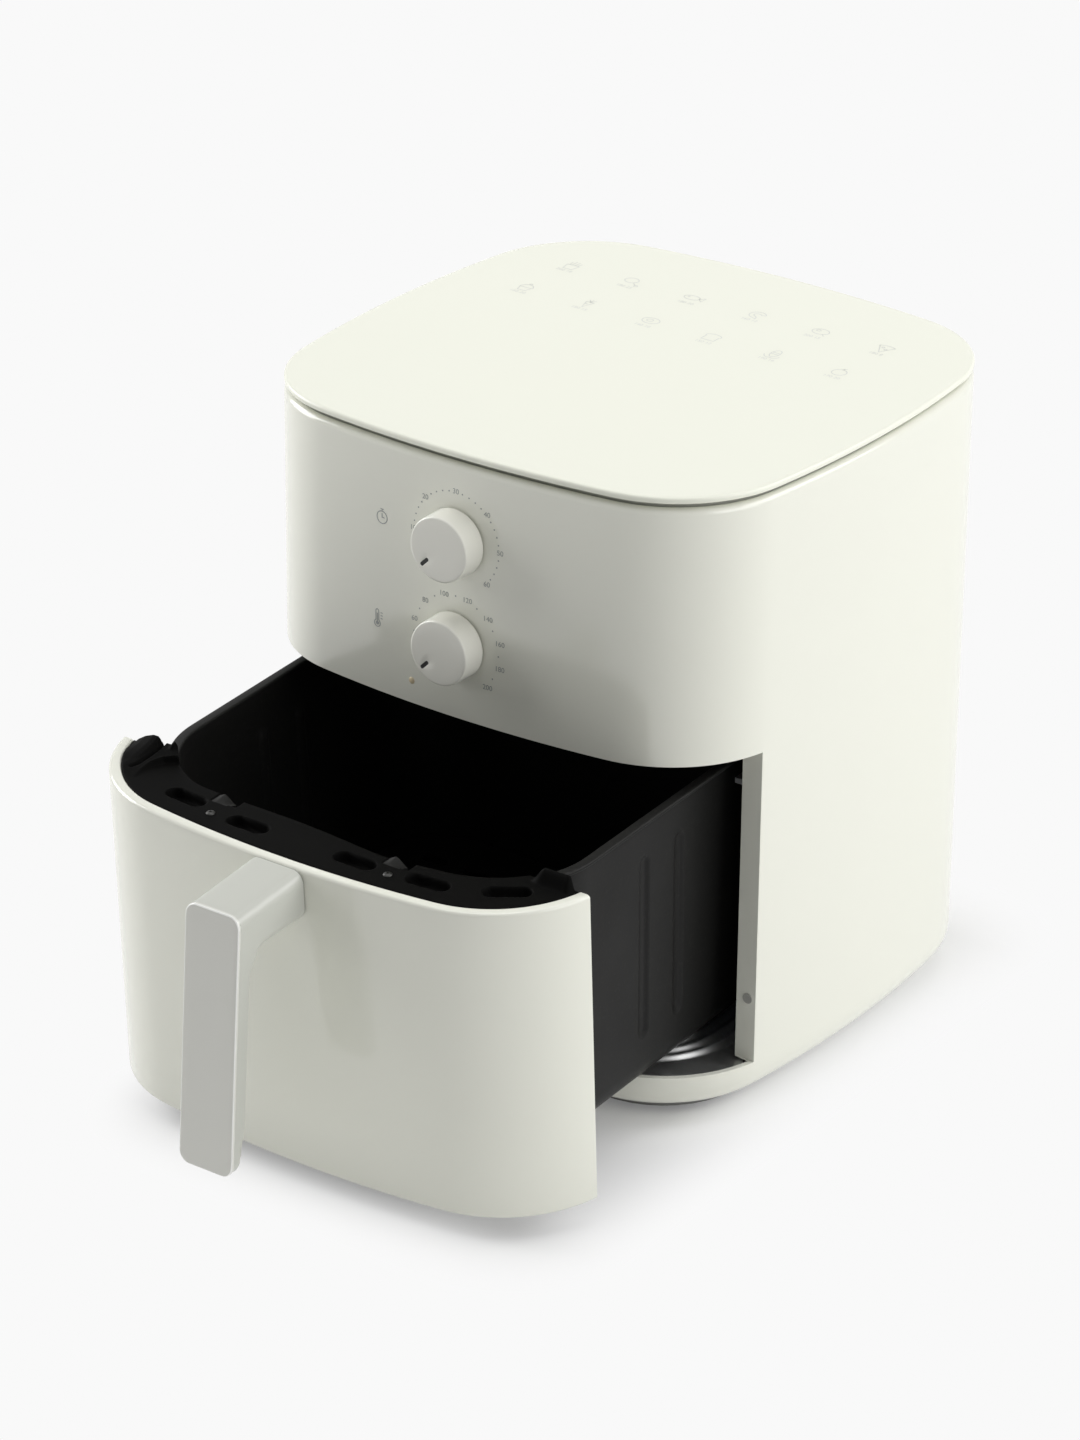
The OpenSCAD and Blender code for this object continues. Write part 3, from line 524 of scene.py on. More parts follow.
def skin_inputs(colours, rough, more=()):
    """The sockets of a finish group: named gray colours, more sockets, and the two ends of the roughness."""
    return [(name, "NodeSocketColor", (tone, tone, tone, 1)) for name, tone in colours] + list(more) + [
        ("Rough low", "NodeSocketFloat", rough[0]), ("Rough high", "NodeSocketFloat", rough[1])]


def moulded_group():
    """Moulded plastic: a faint flow tone, a roughness that varies a little, and a fine grain height."""
    def build(g, ins, outs):
        pos = add(g, "ShaderNodeTexCoord").outputs["Object"]
        flow = span(g, noise(g, pos, 9.0, 3.0), 0, 1, 0, 1)
        g.links.new(blend_colours(g, flow, ins.outputs["Colour"], ins.outputs["Flow colour"]),
                    outs.inputs["Colour"])
        patch = noise(g, pos, 35.0, 4.0)
        g.links.new(span(g, patch, ins.outputs["Rough low"], ins.outputs["Rough high"], 0, 1),
                    outs.inputs["Roughness"])
        g.links.new(noise(g, pos, 1100.0, 2.0), outs.inputs["Grain"])
    return node_group("Moulded skin", skin_inputs((("Colour", 0.8), ("Flow colour", 0.8)), (0.2, 0.3)),
                      SKIN_OUTPUTS, build)


def brushed_group():
    """Drawn or brushed metal: streaks along one axis that change the tone, the roughness and the height."""
    def build(g, ins, outs):
        pos = add(g, "ShaderNodeTexCoord").outputs["Object"]
        stretch = add(g, "ShaderNodeMapping")
        g.links.new(pos, stretch.inputs["Vector"])
        g.links.new(ins.outputs["Stretch"], stretch.inputs["Scale"])
        streak = noise(g, stretch.outputs["Vector"], 1.0, 4.0, 0.6)
        g.links.new(blend_colours(g, span(g, streak, 0, 1), ins.outputs["Colour"], ins.outputs["Dark colour"]),
                    outs.inputs["Colour"])
        g.links.new(span(g, streak, ins.outputs["Rough low"], ins.outputs["Rough high"]),
                    outs.inputs["Roughness"])
        g.links.new(streak, outs.inputs["Grain"])
    return node_group("Brushed metal",
                      skin_inputs((("Colour", 0.6), ("Dark colour", 0.5)), (0.2, 0.4),
                                  [("Stretch", "NodeSocketVector", (30, 900, 900))]), SKIN_OUTPUTS, build)


def coated_group():
    """Baked dark coating: fine speckle of a second tone, drifting gloss and a pebbled height."""
    def build(g, ins, outs):
        pos = add(g, "ShaderNodeTexCoord").outputs["Object"]
        speck = noise(g, pos, 700.0, 3.0, 0.6)
        g.links.new(blend_colours(g, span(g, speck, 0, 1, 0.55, 0.75), ins.outputs["Colour"],
                                  ins.outputs["Speckle"]), outs.inputs["Colour"])
        drift = noise(g, pos, 18.0, 3.0)
        g.links.new(span(g, drift, ins.outputs["Rough low"], ins.outputs["Rough high"]),
                    outs.inputs["Roughness"])
        g.links.new(noise(g, pos, 450.0, 3.0, 0.6), outs.inputs["Grain"])
    return node_group("Baked coating", skin_inputs((("Colour", 0.02), ("Speckle", 0.05)), (0.3, 0.45)),
                      SKIN_OUTPUTS, build)


def finish(name, group, colour_value, second, rough, bump, distance, metallic=0.0, stretch=None, **sockets):
    """A material from one finish group with its own values, kept and reused by name."""
    if name in bpy.data.materials:
        return bpy.data.materials[name]
    mat = bpy.data.materials.new(name)
    mat.use_nodes = True
    mat.diffuse_color = (*colour_value, 1)
    tree = mat.node_tree
    shader = tree.nodes["Principled BSDF"]
    shader.inputs["Metallic"].default_value = metallic
    for key, value in sockets.items():
        shader.inputs[key.replace("_", " ")].default_value = value
    g = tree.nodes.new("ShaderNodeGroup")
    g.node_tree = group()
    g.inputs[0].default_value = (*colour_value, 1)
    g.inputs[1].default_value = (*second, 1)
    g.inputs["Rough low"].default_value, g.inputs["Rough high"].default_value = rough
    if stretch:
        g.inputs["Stretch"].default_value = stretch
    tree.links.new(g.outputs["Colour"], shader.inputs["Base Color"])
    tree.links.new(g.outputs["Roughness"], shader.inputs["Roughness"])
    if bump:
        b = add(tree, "ShaderNodeBump", None, Strength=bump, Distance=distance)
        tree.links.new(g.outputs["Grain"], b.inputs["Height"])
        tree.links.new(b.outputs["Normal"], shader.inputs["Normal"])
    return mat


def shade(c, k):
    """A colour made lighter or darker by k, each part kept from 0 to 1."""
    return tuple(min(1.0, v * k) for v in c)


def plastic(name, c, rough=(0.16, 0.2), bump=0.03, **sockets):
    """Moulded plastic of colour c."""
    return finish(name, moulded_group, tuple(c), shade(c, 0.985), rough, bump, 0.00004, **sockets)


def metal(name, c, rough=(0.22, 0.36), stretch=(30, 900, 900), bump=0.08):
    """Bare metal of colour c with streaks across the stretched axes."""
    return finish(name, brushed_group, c, shade(c, 0.88), rough, bump, 0.00003, 1.0, stretch)


def coated(name, c, speckle, rough=(0.3, 0.42), bump=0.12, **sockets):
    """Dark baked coating of colour c with speckles."""
    return finish(name, coated_group, tuple(c), tuple(speckle), rough, bump, 0.00006, **sockets)


def materials():
    """Every material by its finish."""
    f = props("finishes")
    coat = tuple(f.coat)
    return {
        "white": plastic("Glossy warm white", f.white, (0.10, 0.13), 0.02, IOR=1.6),
        "lid": plastic("Satin top white", f.lid, (0.22, 0.28), 0.04, IOR=1.5),
        "knob": plastic("Knob white", f.knob, (0.20, 0.25), 0.03, IOR=1.55),
        "handle": plastic("Handle white", f.handle, (0.28, 0.34), 0.05),
        "cover": plastic("Handle cover white", f.cover, (0.21, 0.26), 0.04),
        # a lighter colour on the handle cover's eased edge: a painted highlight
        "cover_edge_highlight": plastic("Handle cover painted edge highlight", (0.93, 0.93, 0.9), (0.2, 0.25), 0.0),
        # gray of the lid's seal ring, and painted shade on the slab in the gap at the handle's root
        "seal": plastic("Shadow gap gray", (0.34, 0.345, 0.31), (0.5, 0.6), 0.1),
        "frame": plastic("Black moulding", (0.0032, 0.0032, 0.003), (0.5, 0.6), 0.1, Specular_IOR_Level=0.02),
        "clip": plastic("Black clip", (0.009, 0.009, 0.0085), (0.45, 0.55), 0.1, Specular_IOR_Level=0.12),
        "rubber": plastic("Foot rubber", (0.03, 0.03, 0.03), (0.65, 0.75), 0.2),
        "base": plastic("Base gray", (0.16, 0.16, 0.155), (0.45, 0.55), 0.2),
        "coat": coated("Non-stick coating", coat, shade(coat, 1.8), (0.42, 0.52), 0.1, Specular_IOR_Level=0.14),
        "liner": coated("Chamber enamel", (0.012, 0.012, 0.012), (0.03, 0.03, 0.03), (0.28, 0.4), 0.08),
        "floor": metal("Bright pressed steel", (0.86, 0.87, 0.86), (0.34, 0.44), (60, 260, 260)),
        "zinc": metal("Galvanised sheet", (0.5, 0.51, 0.52), (0.35, 0.5), (60, 60, 60)),
        "screw": metal("Zinc screw", (0.68, 0.68, 0.67), (0.2, 0.26), (400, 400, 400)),
        "dull_screw": metal("Dark screw", (0.05, 0.05, 0.048), (0.35, 0.45), (400, 400, 400)),
        "painted_screw": plastic("Painted screw", (0.4, 0.4, 0.37), (0.4, 0.5)),
        "shaft": metal("Ground steel", (0.6, 0.6, 0.6), (0.15, 0.25), (900, 900, 60)),
        "element": metal("Oxidised tube", (0.16, 0.15, 0.14), (0.4, 0.55), (200, 200, 200)),
        "alloy": metal("Stamped aluminium", (0.72, 0.72, 0.73), (0.25, 0.38), (50, 600, 600)),
        "copper": metal("Drawn copper", (0.7, 0.36, 0.22), (0.22, 0.35), (300, 300, 300)),
        "motor": coated("Motor enamel", (0.09, 0.1, 0.12), (0.13, 0.14, 0.16), (0.35, 0.5)),
        "insulator": plastic("Insulator cream", (0.62, 0.58, 0.48), (0.45, 0.6), 0.15),
        "wire": plastic("Cable red", (0.36, 0.03, 0.025), (0.4, 0.5), 0.1),
        "amber": plastic("Lens amber", (0.8, 0.68, 0.46), (0.12, 0.2), 0.02, IOR=1.5),
        "plunger": plastic("Plunger red", (0.5, 0.06, 0.05), (0.25, 0.35), 0.05),
        "glide": plastic("Glide nylon", (0.03, 0.03, 0.03), (0.35, 0.5), 0.1),
        "silicone": plastic("Bumper silicone", (0.025, 0.025, 0.025), (0.5, 0.6), 0.1),
        "print": plastic("Printed gray", f.print_gray, (0.35, 0.4), 0.0),
        "faint": plastic("Faint printed gray", (0.56, 0.575, 0.53), (0.3, 0.35), 0.0),
        # dark for the pointer groove's deepest faces, and painted shade on the disc in the gap behind each knob
        "pointer_and_gap_shade": plastic("Pointer dark and painted gap shade", (0.035, 0.035, 0.033), (0.4, 0.5), 0.0),
    }


# ---- housing ----


# half width of the outlet grille's hole, and the heights of its lower and upper edge, in millimetres
GRILLE_HALF, GRILLE_LOW, GRILLE_HIGH = 52, 200, 256
# distance from a hole's edge to the next row or column, at the drawer's opening and at the grille
OPENING_SOFT, GRILLE_SOFT = 0.9 * MM, 1.2 * MM
SOFFIT_THICK = 2.5 * MM


def opening_columns():
    """Normal directions round the outer and the inner face, with columns at the sides of both openings.

    Both rows have the same columns: those at a side of the drawer's opening or the grille are worked out for
    each face's own inset, and the rest are shared. Returns both rows and the two outer directions.
    """
    h = props("housing")
    base = ring_angles()
    step = OPENING_SOFT / h.corner
    rows = []
    for inset in (0.0, h.wall):
        a = -cut_angle(h.cheek, inset)
        g = math.asin(GRILLE_HALF * MM / (h.bow - inset))
        soft = GRILLE_SOFT / h.bow
        marks = np.array([a, a - step, a - 2 * step, a + step])
        rows.append(np.concatenate([2 * math.pi - marks, math.pi + marks,
                                    math.pi / 2 + np.array([-g - soft, -g, soft - g, g - soft, g, g + soft])]))
    kept = base[np.abs(base[:, None] - rows[0][None]).min(1) > 0.012]
    outer, inner = (np.concatenate([kept, row]) for row in rows)
    order = np.argsort(outer)
    return outer[order], inner[order], -cut_angle(h.cheek), math.asin(GRILLE_HALF * MM / h.bow)


def shell_rows():
    """Inset and height of every row of the shell's outer face and of the matching row of its inner face."""
    h = props("housing")
    wall, low, top = h.wall, h.bottom, h.top

    def close_by(z, soft):
        """A height and one close to it on both sides."""
        return [z - soft, z, z + soft]

    # the turned-in foot and the rounded bottom edge, which stands a little higher
    in_o, up_o = round_steps(h.bottom_round, 9)
    in_i, up_i = round_steps(h.bottom_round - wall, 9)
    edge, foot, plinth = low + h.skirt, 22 * MM, h.bottom_round + 1.1 * MM
    rows = [(foot, low, foot, edge + wall), (plinth, low, foot - 2 * MM, edge + wall),
            (plinth, edge, foot - 4 * MM, edge + wall)]
    rows += [(a, edge + b, wall + c, edge + wall + d) for a, b, c, d in zip(in_o, up_o, in_i, up_i)]
    # the upright wall
    levels = [*close_by(h.sill, OPENING_SOFT), 0.06, 0.1, 0.14, *close_by(h.opening, OPENING_SOFT),
              h.soffit + SOFFIT_THICK, *close_by(GRILLE_LOW * MM, GRILLE_SOFT), 0.23,
              *close_by(GRILLE_HIGH * MM, GRILLE_SOFT), 0.275]
    rows += [(0, z, wall, z) for z in levels]
    # the shoulder, the step down inside it, and the ledge under the top plate
    knee = top - h.shoulder
    inner, steps = knee - 2 * MM, 7
    rows += [(h.shoulder * (1 - math.cos(t)), knee + h.shoulder * math.sin(t), wall + 3 * MM * k / steps, inner)
             for k, t in enumerate(np.linspace(0, math.pi / 2, steps + 1))]
    rows += [(3.9 * MM, top - 0.2 * MM, 6 * MM, inner), (4.2 * MM, top - 0.7 * MM, 7 * MM, inner),
             (4.2 * MM, knee, 8 * MM, inner), (h.ledge, knee, h.ledge, inner)]
    return np.array(rows)


class AIRFRYER_OT_shell(bpy.types.Operator):
    """Housing shell: the bowed outline swept along a rounded wall profile, with cheeks beside the opening."""
    bl_idname = "air_fryer.shell"
    bl_label = "Housing shell"

    def execute(self, context):
        h, mats = props("housing"), materials()
        rows = shell_rows()
        outer_a, inner_a, a0, g0 = opening_columns()
        xo, yo = bowed_outline(outer_a[:, None], rows[None, :, 0])
        xi, yi = bowed_outline(inner_a[:, None], rows[None, :, 2])
        outer = np.stack([xo, yo, np.broadcast_to(rows[:, 1], xo.shape)], -1)
        inner = np.stack([xi, yi, np.broadcast_to(rows[:, 3], xi.shape)], -1)
        step = OPENING_SOFT / h.corner
        # beside the opening the inner face turns in to the chamber: the front faces of the cheeks
        tall = (rows[:, 1] > h.sill - 1e-6) & (rows[:, 1] < h.soffit + SOFFIT_THICK + 0.5 * MM)
        back = -h.cheek + h.cheek_wall
        deep = bowed_outline(2 * math.pi + cut_angle(-back, h.wall), h.wall)[0]
        for k, sign in ((2 * math.pi - a0, 1), (math.pi + a0, -1)):
            cols = [int(np.abs(outer_a - (k + sign * j * step)).argmin()) for j in range(3)]
            for col, (x, y) in zip(cols, ((h.chamber, -h.cheek), (h.chamber, back), (deep, back))):
                inner[col, tall, 0] = sign * x
                inner[col, tall, 1] = y
        mid = outer_a + (np.roll(outer_a, -1) - outer_a) % (2 * math.pi) / 2
        z = (rows[1:, 1] + rows[:-1, 1]) / 2
        front = (mid > math.pi + a0) & (mid < 2 * math.pi - a0)
        rear = np.abs(mid - math.pi / 2) < g0
        keep = np.ones((len(outer_a), len(rows) - 1), bool)
        keep &= ~(front[:, None] & ((z > h.sill) & (z < h.opening))[None])
        keep &= ~(rear[:, None] & ((z > GRILLE_LOW * MM) & (z < GRILLE_HIGH * MM))[None])
        points, faces = thick_grid(outer, inner, keep)
        parts = Parts().add(points, faces)
        # ledge over the drawer front
        a = np.linspace(math.pi - cut_angle(-back, h.wall), 2 * math.pi + cut_angle(-back, h.wall), 60)
        edge = np.stack(bowed_outline(a, h.wall - 0.1 * MM), -1)
        parts.add(*plate([edge], h.soffit, h.soffit + SOFFIT_THICK))
        obj = parts.build("housing_shell", mats["white"], "housing", "white_plastic", ["outer_shell"])
        soften(obj, 0.35)
        return {"FINISHED"}


class AIRFRYER_OT_lid(bpy.types.Operator):
    """Top plate and the gray ring in the shadow gap under it, both swept along the bowed outline."""
    bl_idname = "air_fryer.lid"
    bl_label = "Top plate"

    def execute(self, context):
        h, mats = props("housing"), materials()
        a = ring_angles(12, 26)
        top, under = LID_HI.z - 0.05 * MM, h.top + 2.6 * MM
        low_r, high_r, start = 0.9 * MM, 1.3 * MM, 16 * MM
        in_low, up_low = round_steps(low_r, 5)
        t = np.linspace(0, math.pi / 2, 6)
        profile = np.array([(start, under), *zip(in_low, under + up_low),
                            *zip(high_r * (1 - np.cos(t)), top - high_r + high_r * np.sin(t))])
        grid = self.around(a, profile)
        cap = grid[:, -1:, :] * np.array([0.985, 0.9, 0.75, 0.5, 0.25, 0.002])[None, :, None]
        cap[..., 2] = top
        base = grid[:, :1, :] * np.array([0.002, 0.9])[None, :, None]
        base[..., 2] = under
        Parts().tube(np.concatenate([base, grid, cap], 1)).build("top_lid", mats["lid"], "housing",
                                                                 "top_white", ["top_plate"])
        outer, inner, seat = 4.3 * MM, 11 * MM, h.top - 3.2 * MM
        ring = self.around(a, np.array([(outer, seat), (outer, under), (inner, under), (inner, seat)]))
        Parts().add(ring, grid_faces(len(a), 4, True, True)).build(
            "lid_seal", mats["seal"], "housing", "seal_gray", ["top_seal"])
        return {"FINISHED"}

    @staticmethod
    def around(a, profile):
        """A profile of inset and height carried round the housing's outline."""
        x, y = bowed_outline(a[:, None], profile[None, :, 0])
        return np.stack([x, y, np.broadcast_to(profile[:, 1], x.shape)], -1)


def chamber_path(out):
    """The chamber's wall line in plan, from its front left end round the back to its front right end."""
    h = props("housing")
    front, beyond = -h.cheek + h.cheek_wall, -0.3
    p, n = box_outline(h.chamber, beyond, h.chamber_back, 0.01, h.chamber_round, 12, 6)
    p = (p + n * out)[p[:, 1] > front]
    p = p[np.argsort(np.arctan2(p[:, 1] + 0.2, p[:, 0]))]
    side = h.chamber + out
    return np.concatenate([[[side, front]], p, [[-side, front]]])


def floor_reach(p, n):
    """How far a point on the dish's edge can go along its normal before it meets the walls or the skin.

    The reach is found by halving: inside holds for points within the skin's inner outline and the chamber.
    """
    h = props("housing")
    gap = 0.05 * MM
    low, high = np.zeros(len(p)), np.full(len(p), 0.09)
    ring = np.stack(bowed_outline(ring_angles(), h.wall + gap), -1)
    along = np.roll(ring, -1, 0) - ring
    normal = np.stack([along[:, 1], -along[:, 0]], -1) / np.linalg.norm(along, axis=1)[:, None]
    for _ in range(24):
        mid = (low + high) / 2
        q = p + n * mid[:, None]
        inside = (((q[:, None] - ring[None]) * normal[None]).sum(-1) < 0).all(1)
        inside &= (np.abs(q[:, 0]) < h.chamber - gap) | (q[:, 1] < -h.cheek + h.cheek_wall - 2 * gap)
        inside &= q[:, 1] < h.chamber_back - gap
        low, high = np.where(inside, mid, low), np.where(inside, high, mid)
    return low


class AIRFRYER_OT_chamber(bpy.types.Operator):
    """Cooking chamber: the dark wall sheet, and the bright floor pressed into a stepped dish."""
    bl_idname = "air_fryer.chamber"
    bl_label = "Chamber"

    SHEET = 1.2 * MM

    def execute(self, context):
        h, mats = props("housing"), materials()
        levels = np.linspace(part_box("chamber_liner")[0].z, h.chamber_top, 6)
        inner, outer = (self.upright(chamber_path(out), levels) for out in (0.0, self.SHEET))
        points, faces = thick_grid(outer, inner, np.ones((len(inner) - 1, len(levels) - 1)))
        Parts().add(points, faces).build("chamber_walls", mats["liner"], "housing", "black_steel",
                                         ["chamber_liner"])
        grid = self.dish(h)
        u, v = grid.shape[:2]
        points, faces = thick_grid(grid, grid - [0, 0, self.SHEET], np.ones((u, v - 1)))
        Parts().add(points, faces).build("floor_pan", mats["floor"], "housing", "bright_steel",
                                         ["floor_plate"])
        return {"FINISHED"}

    @staticmethod
    def upright(path, levels):
        """A line in plan repeated at every level."""
        shape = (len(path), len(levels))
        return np.stack([np.broadcast_to(path[:, :1], shape), np.broadcast_to(path[:, 1:], shape),
                         np.broadcast_to(levels, shape)], -1)

    @staticmethod
    def dish(h):
        """The floor's upper face: rows outside the dish follow its reach, rows inside it are pressed rings.

        The height at v inside the edge is -depth * (1 - cos(2 pi v / wave)).
        """
        p, n = box_outline(h.dish, -h.dish_front, h.dish_back, h.dish_front_round, h.dish_back_round, 18, 6)
        reach = floor_reach(p, n)[:, None]
        inside = np.linspace(0.01 * MM, 3 * h.dish_wave, 49)
        shift = np.concatenate([reach * [1.0, 0.5], np.broadcast_to(-inside, (len(p), 49))], 1)
        fall = -h.dish_depth * (1 - np.cos(2 * math.pi * inside / h.dish_wave))
        z = np.broadcast_to(h.floor + np.concatenate([[0, 0], fall]), shift.shape)
        grid = np.concatenate([p[:, None] + n[:, None] * shift[..., None], z[..., None]], -1)
        middle = grid[:, -1:] * np.array([0.7, 0.35, 0.002])[None, :, None]
        middle[..., 2] = grid[0, -1, 2]
        return np.concatenate([grid, middle], 1)


# ---- drawer ----


WALL_ROWS = np.concatenate([np.arange(60, 72, 1.2), np.arange(73, 151, 3.0), np.arange(151.5, 163, 1.2),
                            [168, 172]]) * MM
PLAIN, WALL_OUT, ROLL, WALL_IN = range(4)


def basket_rows():
    """Inset, height and kind of the basket's section, from its underside over the rolled rim to its floor."""
    d = props("drawer")
    wide = d.lip + d.draft
    roll, inner_r, lip_in = 1.0 * MM, 1.2 * MM, d.lip + 0.4 * MM
    rows = [(wide + a, d.bottom + b, PLAIN) for a, b in zip(*round_steps(d.foot, 8))]
    z0 = rows[-1][1]
    slope = d.draft / (d.draft_top - z0)
    rows += [(wide - slope * (v - z0), v, WALL_OUT) for v in WALL_ROWS if v > z0 + 1e-4]
    under = d.rim - 2 * roll
    rows += [(d.lip + 0.2 * MM, under, PLAIN), (d.lip - 0.8 * MM, under, PLAIN)]
    rows += [(roll * (1 - math.cos(v)), under + roll * (1 + math.sin(v)), ROLL)
             for v in np.linspace(-math.pi / 2, math.pi / 2, 9)]
    rows += [(lip_in + inner_r * math.sin(v), d.rim - inner_r * (1 - math.cos(v)), PLAIN)
             for v in np.linspace(0, math.pi / 2, 4)]
    knee = d.rim - inner_r
    rows += [(d.lip + d.wall + d.draft * k, knee - (knee - z0) * k, WALL_IN)
             for k in np.linspace(0.05, 0.95, 46)]
    inset, up = round_steps(d.foot - d.wall, 8)
    rows += [(wide + d.wall + a, d.bottom + d.wall + b, PLAIN) for a, b in zip(inset[::-1], up[::-1])]
    return np.array(rows)


def rib_depth(y, z, middle, low=0.066, high=0.157, half=3.4 * MM, soft=1.5 * MM):
    """0 outside a long upright rib with round ends and 1 on its flat, eased across its soft edge."""
    up = np.clip(z, low + half, high - half)
    gap = half - np.hypot(y - middle, z - up)
    return ease(gap / soft)


class AIRFRYER_OT_basket(bpy.types.Operator):
    """Basket: a round-cornered box swept along a thin section with a rolled rim, and pressed upright ribs."""
    bl_idname = "air_fryer.basket"
    bl_label = "Basket"

    RIBS = (-10.5 * MM, 15.5 * MM)
    RIB_DEPTH = 1.1 * MM

    def execute(self, context):
        d, mats = props("drawer"), materials()
        p, n = box_outline(d.half_w, -d.front, d.back, d.corner, d.corner, 20, 110)
        lip, lip_n = box_outline(d.half_w, -d.front, d.back, d.corner, d.lip_corner, 20, 110)
        rows = basket_rows()
        grid = p[:, None] - n[:, None] * rows[None, :, :1]
        rim = rows[:, 2] == ROLL
        grid[:, rim] = lip[:, None] - lip_n[:, None] * rows[None, rim, :1]
        z = np.broadcast_to(rows[:, 1], grid.shape[:2])
        # the rim is pressed down where the flange covers it
        under, fade = 165 * MM, ease((-80 * MM - p[:, 1:]) / (4 * MM))
        z = np.where(z > under, under + (z - under) * (1 - 0.667 * fade), z)
        side = (np.abs(n[:, 0]) > 0.999)[:, None]
        press = sum(rib_depth(p[:, None, 1], z, y) for y in self.RIBS)
        push = self.RIB_DEPTH * press * side * np.isin(rows[:, 2], (WALL_OUT, WALL_IN))
        grid = np.concatenate([grid - n[:, None] * push[..., None], z[..., None]], -1)
        caps = []
        for end, shrink in ((grid[:, :1], (0.002, 0.5, 0.9)), (grid[:, -1:], (0.9, 0.5, 0.002))):
            cap = end * np.array(shrink)[None, :, None]
            cap[..., 2] = end[0, 0, 2]
            caps.append(cap)
        Parts().tube(pulled(np.concatenate([caps[0], grid, caps[1]], 1))).build(
            "basket_pan", mats["coat"], "drawer", "black_steel", ["basket"], flat_angle=50)
        return {"FINISHED"}


def panel_profile():
    """Closed section of the drawer front as inset and height: rounded rim, thick upper part, thinner skirt."""
    d = props("drawer")
    top, low, rim, wall = d.panel_top, d.panel_low, d.panel_rim, d.panel_wall
    step = d.flange_low - 2 * MM

    def quarter(x, z, r, start):
        """A quarter turn of radius r inside the corner at x and z."""
        a = start + np.linspace(0, math.pi / 2, 6)
        return list(zip(x + r * np.cos(a), z + r * np.sin(a)))

    low_out, low_in, top_in, top_out = 1.0 * MM, 0.8 * MM, 1.2 * MM, 1.7 * MM
    loop = quarter(low_out, low + low_out, low_out, math.pi)
    loop += quarter(wall - low_in, low + low_in, low_in, 1.5 * math.pi)
    loop += [(wall, 0.08), (wall, 0.13), (wall, step - 3 * MM), (wall + 0.3 * MM, step - MM), (rim, step)]
    loop += quarter(rim - top_in, top - top_in, top_in, 0)
    loop += quarter(top_out, top - top_out, top_out, math.pi / 2)
    return np.array(loop + [(0, 0.15), (0, 0.1), (0, 0.06)])


def front_angles(ahead):
    """Normal directions of the front from its left to its right end, both on the corner arcs at y = -ahead."""
    _, _, _, a1 = corner_facts()
    end = -cut_angle(ahead)
    q = np.concatenate([np.linspace(end, a1, 26, endpoint=False),
                        np.linspace(a1, math.pi / 2, 12, endpoint=False)])
    return np.concatenate([math.pi + q, [1.5 * math.pi], 2 * math.pi - q[::-1]])


def front_sweep(section, ahead):
    """A section of inset and height carried along the front; both ends lie in the plane y = -ahead."""
    base = front_angles(ahead)[:, None]
    start, soft = -cut_angle(ahead), 0.35
    end = np.array([-cut_angle(ahead, inset) for inset in section[:, 0]])
    from_left, from_right = base - math.pi - start, 2 * math.pi - start - base
    fade = np.clip(np.minimum(from_left, from_right) / soft, 0, 1)
    shift = (end - start)[None] * (1 - fade)
    x, depth = bowed_outline(base + np.where(base < 1.5 * math.pi, shift, -shift), section[None, :, 0])
    return np.stack([x, depth, np.broadcast_to(section[:, 1], x.shape)], -1)


class AIRFRYER_OT_front(bpy.types.Operator):
    """Drawer front: a rounded wall section carried along the housing's own front outline."""
    bl_idname = "air_fryer.front"
    bl_label = "Drawer front"

    def execute(self, context):
        d, mats = props("drawer"), materials()
        grid = pulled(front_sweep(panel_profile(), d.panel_end))
        obj = Parts().swept(grid).build("front_panel", mats["white"], "drawer", "white_plastic",
                                        ["drawer_front"])
        soften(obj, 0.5, 3)
        return {"FINISHED"}


# millimetres, drawer closed: size of the slots, and x, y and turn in degrees of each
SLOT_LONG, SLOT_WIDE = 21.6, 8.8
SLOTS = ((-67.9, -106.5, -5), (-30.5, -110.7, 0), (26.7, -110.1, 0), (63.3, -107.6, 5), (95.6, -95.6, 33))
# right end in x, screw's x and inner edge in y of each tab
TABS = ((-48.6, -50.4, -96.6), (46.0, 45.2, -98.9))
SCREW_Y = -111.7
# the flange's inner edge, pressed forward of the basket's line: x, and by how much
INNER_EDGE = ((-95, -90, -83, -73, -58, -40, -18, 3, 19, 31, 38, 41, 52, 65, 76, 85, 95),
              (0, 0.8, 1.0, 1.9, 2.7, 3.0, 3.0, 4.2, 5.8, 6.8, 6.8, 6.2, 4.8, 2.9, 1.3, 0.6, 0))
# at the left end: y, and how far to the left the lip and the hump's foot lie there
LIP_LINE = ((-106, -99.2, -93.2, -88.3, -85.3, -83.6), (97.2, 98.2, 97.6, 94.8, 90.5, 84))
HUMP_FOOT = ((-99.5, -96.5, -90, -84, -79), (106, 104.5, 103.5, 103, 103.5))
# the hump's section: distance to the left of its foot, and height
HUMP_SECTION = ((-0.6, 0.8, 2.2, 5, 9.8, 14, 15.4), (0, 5.0, 6.3, 6.2, 4.2, 1.4, 0))
WELL_DEPTH, NOTCH_DEPTH, SEAT_DEPTH = 4.8, 7.0, 4.0
LAND, LIP_BEAD, GROOVE, KNOT, RIGHT_HUMP = 4.3, 0.6, 2.0, 2.0, 6.4


def slot_gap(x, y, at_x, at_y, turn):
    """Distance in millimetres outside a turned slot with round ends, and less than 0 inside it."""
    c, t = math.cos(math.radians(turn)), math.sin(math.radians(turn))
    u, v = (x - at_x) * c + (y - at_y) * t, (y - at_y) * c - (x - at_x) * t
    return np.hypot(np.maximum(np.abs(u) - (SLOT_LONG - SLOT_WIDE) / 2, 0), v) - SLOT_WIDE / 2


def bell(t, width):
    """1 at 0 and falling off to both sides: e to the power of -(t / width) squared."""
    return np.exp(-(t / width) ** 2)


